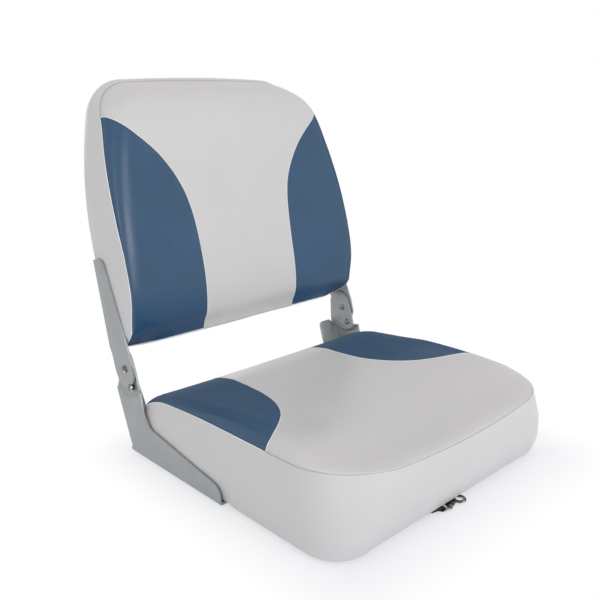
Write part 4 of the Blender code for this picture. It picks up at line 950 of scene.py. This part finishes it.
def duller_edge_on(made, most):
    """Grain hides the gloss where a surface is seen at a low angle."""
    tree = made.node_tree
    shader = tree.nodes["Principled BSDF"]
    facing = tree.nodes.new("ShaderNodeLayerWeight")
    facing.inputs["Blend"].default_value = 0.5
    extra = spread(tree, facing.outputs["Facing"], 0.35, 0.62, 0.0, most)
    gloss = shader.inputs["Roughness"].links[0].from_socket
    tree.links.new(math_node(tree, "ADD", gloss, extra, clamp=True), shader.inputs["Roughness"])


def darker_colour_patches(made):
    """Darker patches at random in the plated fasteners' colour."""
    tree = made.node_tree
    shader = tree.nodes["Principled BSDF"]
    place = tree.nodes.new("ShaderNodeTexCoord").outputs["Object"]
    patches = spread(tree, cloudy(tree, place, 260.0, 3.0), 0.50, 0.58, 0.22, 1.0)
    tint = multiplied(tree, shader.inputs["Base Color"].links[0].from_socket, patches)
    tree.links.new(tint, shader.inputs["Base Color"])


PALE_VINYL = surface(
    "pale_grey_vinyl", (0.62, 0.605, 0.60), 0.34, VINYL_GRAIN, {"Scale": 640.0, "Tone": 0.012},
    0.35, 0.00012, Specular_IOR_Level=0.45,
)
NAVY_VINYL = surface(
    "navy_vinyl", (0.021, 0.075, 0.157), 0.28, VINYL_GRAIN, {"Scale": 600.0, "Tone": 0.07},
    0.4, 0.00016, Specular_IOR_Level=0.50,
)
duller_edge_on(NAVY_VINYL, 0.5)
# Pale thread of the insert stitches, also used on the insert edging, where its brightness is a
# painted highlight of the folded edge.
PALE_THREAD_AND_HIGHLIGHT = surface(
    "pale_thread_and_painted_highlight", (0.86, 0.855, 0.85), 0.6, COAT_SPECKLE, {"Fine": 4200.0}, 0.3, 0.0001,
    Specular_IOR_Level=0.3,
)
# Dark thread of the outer seams: its dark colour is painted shade of the seam's groove.
SEAM_SHADE = surface(
    "seam_thread_painted_groove_shade", (0.27, 0.265, 0.26), 0.7, COAT_SPECKLE, {"Fine": 4200.0},
    0.3, 0.0001, Specular_IOR_Level=0.2,
)
COATED_STEEL = surface(
    "grey_coated_steel", (0.355, 0.37, 0.373), 0.38, COAT_SPECKLE,
    {"Fine": 2600.0, "Streak": (1.0, 0.12, 1.0)}, 0.12, 0.0001, Metallic=0.35,
)
NICKEL = surface(
    "bright_nickel", (0.56, 0.54, 0.50), 0.17, COAT_SPECKLE,
    {"Fine": 1800.0, "Streak": (1.0, 1.0, 0.2)}, 0.06, 0.00005, Metallic=1.0,
)
darker_colour_patches(NICKEL)
BRASS = surface(
    "insert_brass", (0.62, 0.47, 0.22), 0.34, COAT_SPECKLE, {"Fine": 2000.0},
    0.1, 0.0001, Metallic=1.0,
)
MOULDED = surface(
    "black_moulded_base", (0.024, 0.025, 0.027), 0.52, VINYL_GRAIN, {"Scale": 420.0, "Tone": 0.05},
    0.4, 0.0002, Specular_IOR_Level=0.4,
)


# Cushions


def upholster(label, shape, body, foam, cover, inserts):
    sewn = plan(shape)
    top = panel(label + "_top_panel", shape, sewn, sewn["top"])
    side = boxing(label + "_boxing", shape, sewn)
    whole = join([side, top])
    whole.name = label + "_pale_cover"
    made = [(whole, PALE_VINYL, "pale_vinyl", (cover, foam))]
    loops = (sewn["insert"], mirrored(sewn["insert"]))
    for side_name, loop, node in zip(("left", "right"), loops, inserts):
        insert = panel(f"{label}_navy_{side_name}", shape, sewn, loop)
        made.append((insert, NAVY_VINYL, "navy_vinyl", (node,)))
    for piece, material, slot, replaced in made:
        paint(piece, material)
        apply_modifier(piece, "SOLIDIFY", thickness=SKIN, offset=-1.0)
        smooth_by(piece, 50)
        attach(piece, body)
        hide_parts(*replaced)
    stitches, outer = seam_thread(label + "_stitches", shape, sewn)
    # The outer stitches carry painted groove shade; the insert edging carries a painted highlight.
    for piece, material in ((stitches, PALE_THREAD_AND_HIGHLIGHT), (outer, SEAM_SHADE)):
        paint(piece, material)
        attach(piece, body)


for label, shape in (("seat", SEAT), ("back", BACK)):
    panels = (label + "_insert_left", label + "_insert_right")
    upholster(label, shape, label, label + "_foam", label + "_cover", panels)


# Pressed metal and webbing

SHEARED_EDGE = 0.0004  # radius left by the press
FLANGE_FOOT = 0.0137
REAR_EDGE, REAR_LEAN = 0.195, 0.33  # the rear edge at the flange's foot, and its slope
REAR_STRIP, REAR_STRIP_FADE = 0.012, 0.010  # the metal ahead of the edge that moves with it
LOW_END, LOW_END_FADE = 0.014, 0.03
HIGH_END, HIGH_END_FADE = 0.094, 0.02
FLANGE_BEND = 0.2045  # where the flange leaves the web
FLANGE_SIDE, FLANGE_REAR = 0.2, 0.19  # the flange lies inside the one and behind the other
FLANGE_BACK, FLANGE_NARROWER = 0.005, 0.147


def flange_as_seen(mesh):
    """Moves a lower bracket's rear edge back and narrows the flange folded in along it."""
    for vert in mesh.vertices:
        spot = vert.co
        edge = REAR_EDGE + (spot.z - FLANGE_FOOT) * REAR_LEAN
        share = eased((spot.y - edge + REAR_STRIP) / REAR_STRIP_FADE)
        share *= eased((spot.z - LOW_END) / LOW_END_FADE)
        share *= 1 - eased((spot.z - HIGH_END) / HIGH_END_FADE)
        spot.y += FLANGE_BACK * share
        if abs(spot.x) < FLANGE_SIDE and spot.y > FLANGE_REAR:
            width = (FLANGE_BEND - abs(spot.x)) * (1 - FLANGE_NARROWER * share)
            spot.x = math.copysign(FLANGE_BEND - width, spot.x)


def softened(name):
    """A copy of a pressed part with its sharp sheared edges just rounded."""
    node = nodes[name]
    mesh = node.data.copy()
    made = bpy.data.objects.new(name + "_softened", mesh)
    bpy.context.scene.collection.objects.link(made)
    made.matrix_world = node.matrix_world.copy()
    pick(made)
    bpy.ops.object.transform_apply(location=True, rotation=True, scale=True)
    work = bmesh.new()
    work.from_mesh(made.data)
    bmesh.ops.remove_doubles(work, verts=work.verts, dist=0.00002)
    bmesh.ops.dissolve_limit(
        work, angle_limit=math.radians(1.5), verts=work.verts, edges=work.edges
    )
    work.to_mesh(made.data)
    work.free()
    if "lower" in name:
        flange_as_seen(made.data)
    apply_modifier(
        made, "BEVEL", width=SHEARED_EDGE, segments=2, limit_method="ANGLE",
        angle_limit=math.radians(35), use_clamp_overlap=True, harden_normals=False,
    )
    smooth_by(made, 30)
    return made


for name, body in (
    ("left_lower_bracket", "seat"), ("right_lower_bracket", "seat"),
    ("left_upper_arm", "back"), ("right_upper_arm", "back"),
):
    piece = softened(name)
    paint(piece, COATED_STEEL)
    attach(piece, body)
    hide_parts(name)


WEBBING_LEVEL, WEBBING_THICK, WEBBING_HALF = 0.0049, 0.0012, 0.010
WEBBING_PITCH = 0.0006
HOOK_BAR, LOOP_RADIUS, LOOP_STEPS = 0.060, 0.002, 8
WEAVE, WEAVE_ACROSS = 0.00005, 4200  # depth of the ribs, and how close they lie
SELVEDGE, SELVEDGE_THINNER = 0.9, 0.002  # where the thinner edge starts, and its slope
# How far along the strap, and how far above the webbing's level
WEBBING_RUN = ((-0.012, 0.0), (0.020, -0.0001), (0.045, 0.0), (0.0585, 0.0))
WEBBING_RETURN = ((0.0568, -0.004), (0.0508, -0.0015), (0.042, -0.0015))


def webbing():
    """The nylon strap: under the base, round the hook's bar and stitched back on itself."""
    level, half = WEBBING_LEVEL, WEBBING_HALF
    path = [(along, level + rise) for along, rise in WEBBING_RUN]
    for step in range(LOOP_STEPS + 1):
        angle = math.pi / 2 - math.pi * step / LOOP_STEPS
        path.append((
            HOOK_BAR + LOOP_RADIUS * math.cos(angle),
            level - LOOP_RADIUS + LOOP_RADIUS * math.sin(angle),
        ))
    path += [(along, level + rise) for along, rise in WEBBING_RETURN]
    dense = smooth_path(path, WEBBING_PITCH)
    across = [half * share for share in (-1, -0.97, -0.9, -0.6, -0.3, 0, 0.3, 0.6, 0.9, 0.97, 1)]
    points, faces = [], []
    for index, spot in enumerate(dense):
        run = (dense[min(index + 1, len(dense) - 1)] - dense[max(index - 1, 0)]).normalized()
        normal = Vector((-run.y, run.x))
        for side in across:
            thinner = max(0.0, abs(side) / half - SELVEDGE) * SELVEDGE_THINNER
            lift = WEAVE * math.sin(side * WEAVE_ACROSS) - thinner
            points.append((spot.x + normal.x * lift, side, spot.y + normal.y * lift))
    wide = len(across)
    for index in range(len(dense) - 1):
        for place in range(wide - 1):
            base = index * wide + place
            faces.append((base, base + 1, base + wide + 1, base + wide))
    made = add_piece("strap_webbing_woven", points, faces)
    made.data.transform(STRAP_FRAME)
    apply_modifier(made, "SOLIDIFY", thickness=WEBBING_THICK - 2 * WEAVE, offset=0.0)
    smooth_by(made, 50)
    return made


piece = webbing()
paint(piece, MOULDED)
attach(piece, "strap")
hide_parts("strap_webbing")


# Carried-over nodes

for name, node in nodes.items():
    if name.endswith(("lower_bracket", "upper_arm")):
        paint(node, COATED_STEEL)
    elif name in ("seat_base", "back_board", "strap_webbing"):
        paint(node, MOULDED)
    elif name.startswith("insert_nut"):
        paint(node, BRASS)
    else:
        paint(node, NICKEL)


# Camera, light and floor

EYE = (-0.66798, -0.61402, 0.47174)
EYE_TURN, EYE_DIP = math.radians(43.55), math.radians(16.06)
LENS, SENSOR = 44.83, 36
FLOOR_SIZE, FLOOR_LEVEL = 16, -0.0002
FLOOR_COLOUR = (0.82, 0.84, 0.91, 1)
FLOOR_WHITE = 0.55  # how far the floor under the seat is lifted to white
FOOTPRINT = (0.185, 0.180, 0.0)
FOOTPRINT_FADE = 0.085  # the floor is all white this far outside the footprint
ROOM_STRENGTH = 0.69
WHITE = (1.0, 1.0, 1.0, 1)
LAMPS = (
    # name, place, aim, size and power
    ("front_softbox", (0.2, -2.0, 1.0), (0, 0, 0.2), (0.9, 0.9), 13.5),
    ("left_strip", (-1.7, -0.95, 0.75), (0, 0, 0.25), (0.6, 1.4), 6.6),
    ("rear_softbox", (0.5, 1.9, 0.55), (0, 0.2, 0.25), (1.2, 0.8), 5.0),
)


def place_object(name, data, place, aim):
    """A camera or lamp at a place, looking along a direction."""
    made = bpy.data.objects.new(name, data)
    bpy.context.scene.collection.objects.link(made)
    made.location = place
    made.rotation_euler = aim.to_track_quat("-Z", "Y").to_euler()
    return made


def camera():
    lens = bpy.data.cameras.new("view_camera")
    lens.sensor_width = SENSOR
    lens.lens = LENS
    flat = math.cos(EYE_DIP)
    look = Vector((math.sin(EYE_TURN) * flat, math.cos(EYE_TURN) * flat, -math.sin(EYE_DIP)))
    bpy.context.scene.camera = place_object("view_camera", lens, EYE, look)
    bpy.context.scene.view_settings.view_transform = "Standard"


def shown_white(tree, lit, share):
    """Lifts a lit surface toward plain white for the camera, mirrors and clear things alone."""
    path = tree.nodes.new("ShaderNodeLightPath")
    seen = math_node(tree, "MAXIMUM", path.outputs["Is Camera Ray"], path.outputs["Is Glossy Ray"])
    seen = math_node(tree, "MAXIMUM", seen, path.outputs["Is Transmission Ray"])
    glow = tree.nodes.new("ShaderNodeEmission")
    glow.inputs["Color"].default_value = WHITE
    mix = tree.nodes.new("ShaderNodeMixShader")
    tree.links.new(times(tree, seen, share), mix.inputs["Fac"])
    tree.links.new(lit, mix.inputs[1])
    tree.links.new(glow.outputs["Emission"], mix.inputs[2])
    return mix.outputs["Shader"]


def outside_footprint(tree):
    """0 under the seat, rising to 1 on the floor round it."""
    away = tree.nodes.new("ShaderNodeTexCoord").outputs["Object"]
    for operation, value in (
        ("ABSOLUTE", None), ("SUBTRACT", FOOTPRINT), ("MAXIMUM", (0.0, 0.0, 0.0)), ("LENGTH", None)
    ):
        made = tree.nodes.new("ShaderNodeVectorMath")
        made.operation = operation
        tree.links.new(away, made.inputs[0])
        if value:
            made.inputs[1].default_value = value
        away = made.outputs["Value" if operation == "LENGTH" else "Vector"]
    return spread(tree, away, 0.0, FOOTPRINT_FADE, 0.0, 1.0)


def ground():
    deselect()
    bpy.ops.mesh.primitive_plane_add(size=FLOOR_SIZE, location=(0, 0, FLOOR_LEVEL))
    floor = bpy.context.active_object
    floor.name = "studio_floor"
    pale = bpy.data.materials.new("studio_floor")
    pale.use_nodes = True
    tree = pale.node_tree
    shader = tree.nodes["Principled BSDF"]
    shader.inputs["Base Color"].default_value = FLOOR_COLOUR
    shader.inputs["Roughness"].default_value = 0.6
    shader.inputs["Specular IOR Level"].default_value = 0.2
    share = added(tree, times(tree, outside_footprint(tree), 1.0 - FLOOR_WHITE), FLOOR_WHITE)
    lifted = shown_white(tree, shader.outputs["BSDF"], share)
    tree.links.new(lifted, tree.nodes["Material Output"].inputs["Surface"])
    paint(floor, pale)


def room():
    world = bpy.data.worlds.new("studio_world")
    world.use_nodes = True
    tree = world.node_tree
    around = tree.nodes["Background"]
    around.inputs["Color"].default_value = WHITE
    around.inputs["Strength"].default_value = ROOM_STRENGTH
    white = shown_white(tree, around.outputs["Background"], 1.0)
    tree.links.new(white, tree.nodes["World Output"].inputs["Surface"])
    bpy.context.scene.world = world


def lamp(name, place, aim, size, power):
    data = bpy.data.lights.new(name, "AREA")
    data.shape = "RECTANGLE"
    data.size, data.size_y = size
    data.energy = power
    place_object(name, data, place, Vector(aim) - Vector(place))


camera()
ground()
room()
for row in LAMPS:
    lamp(*row)
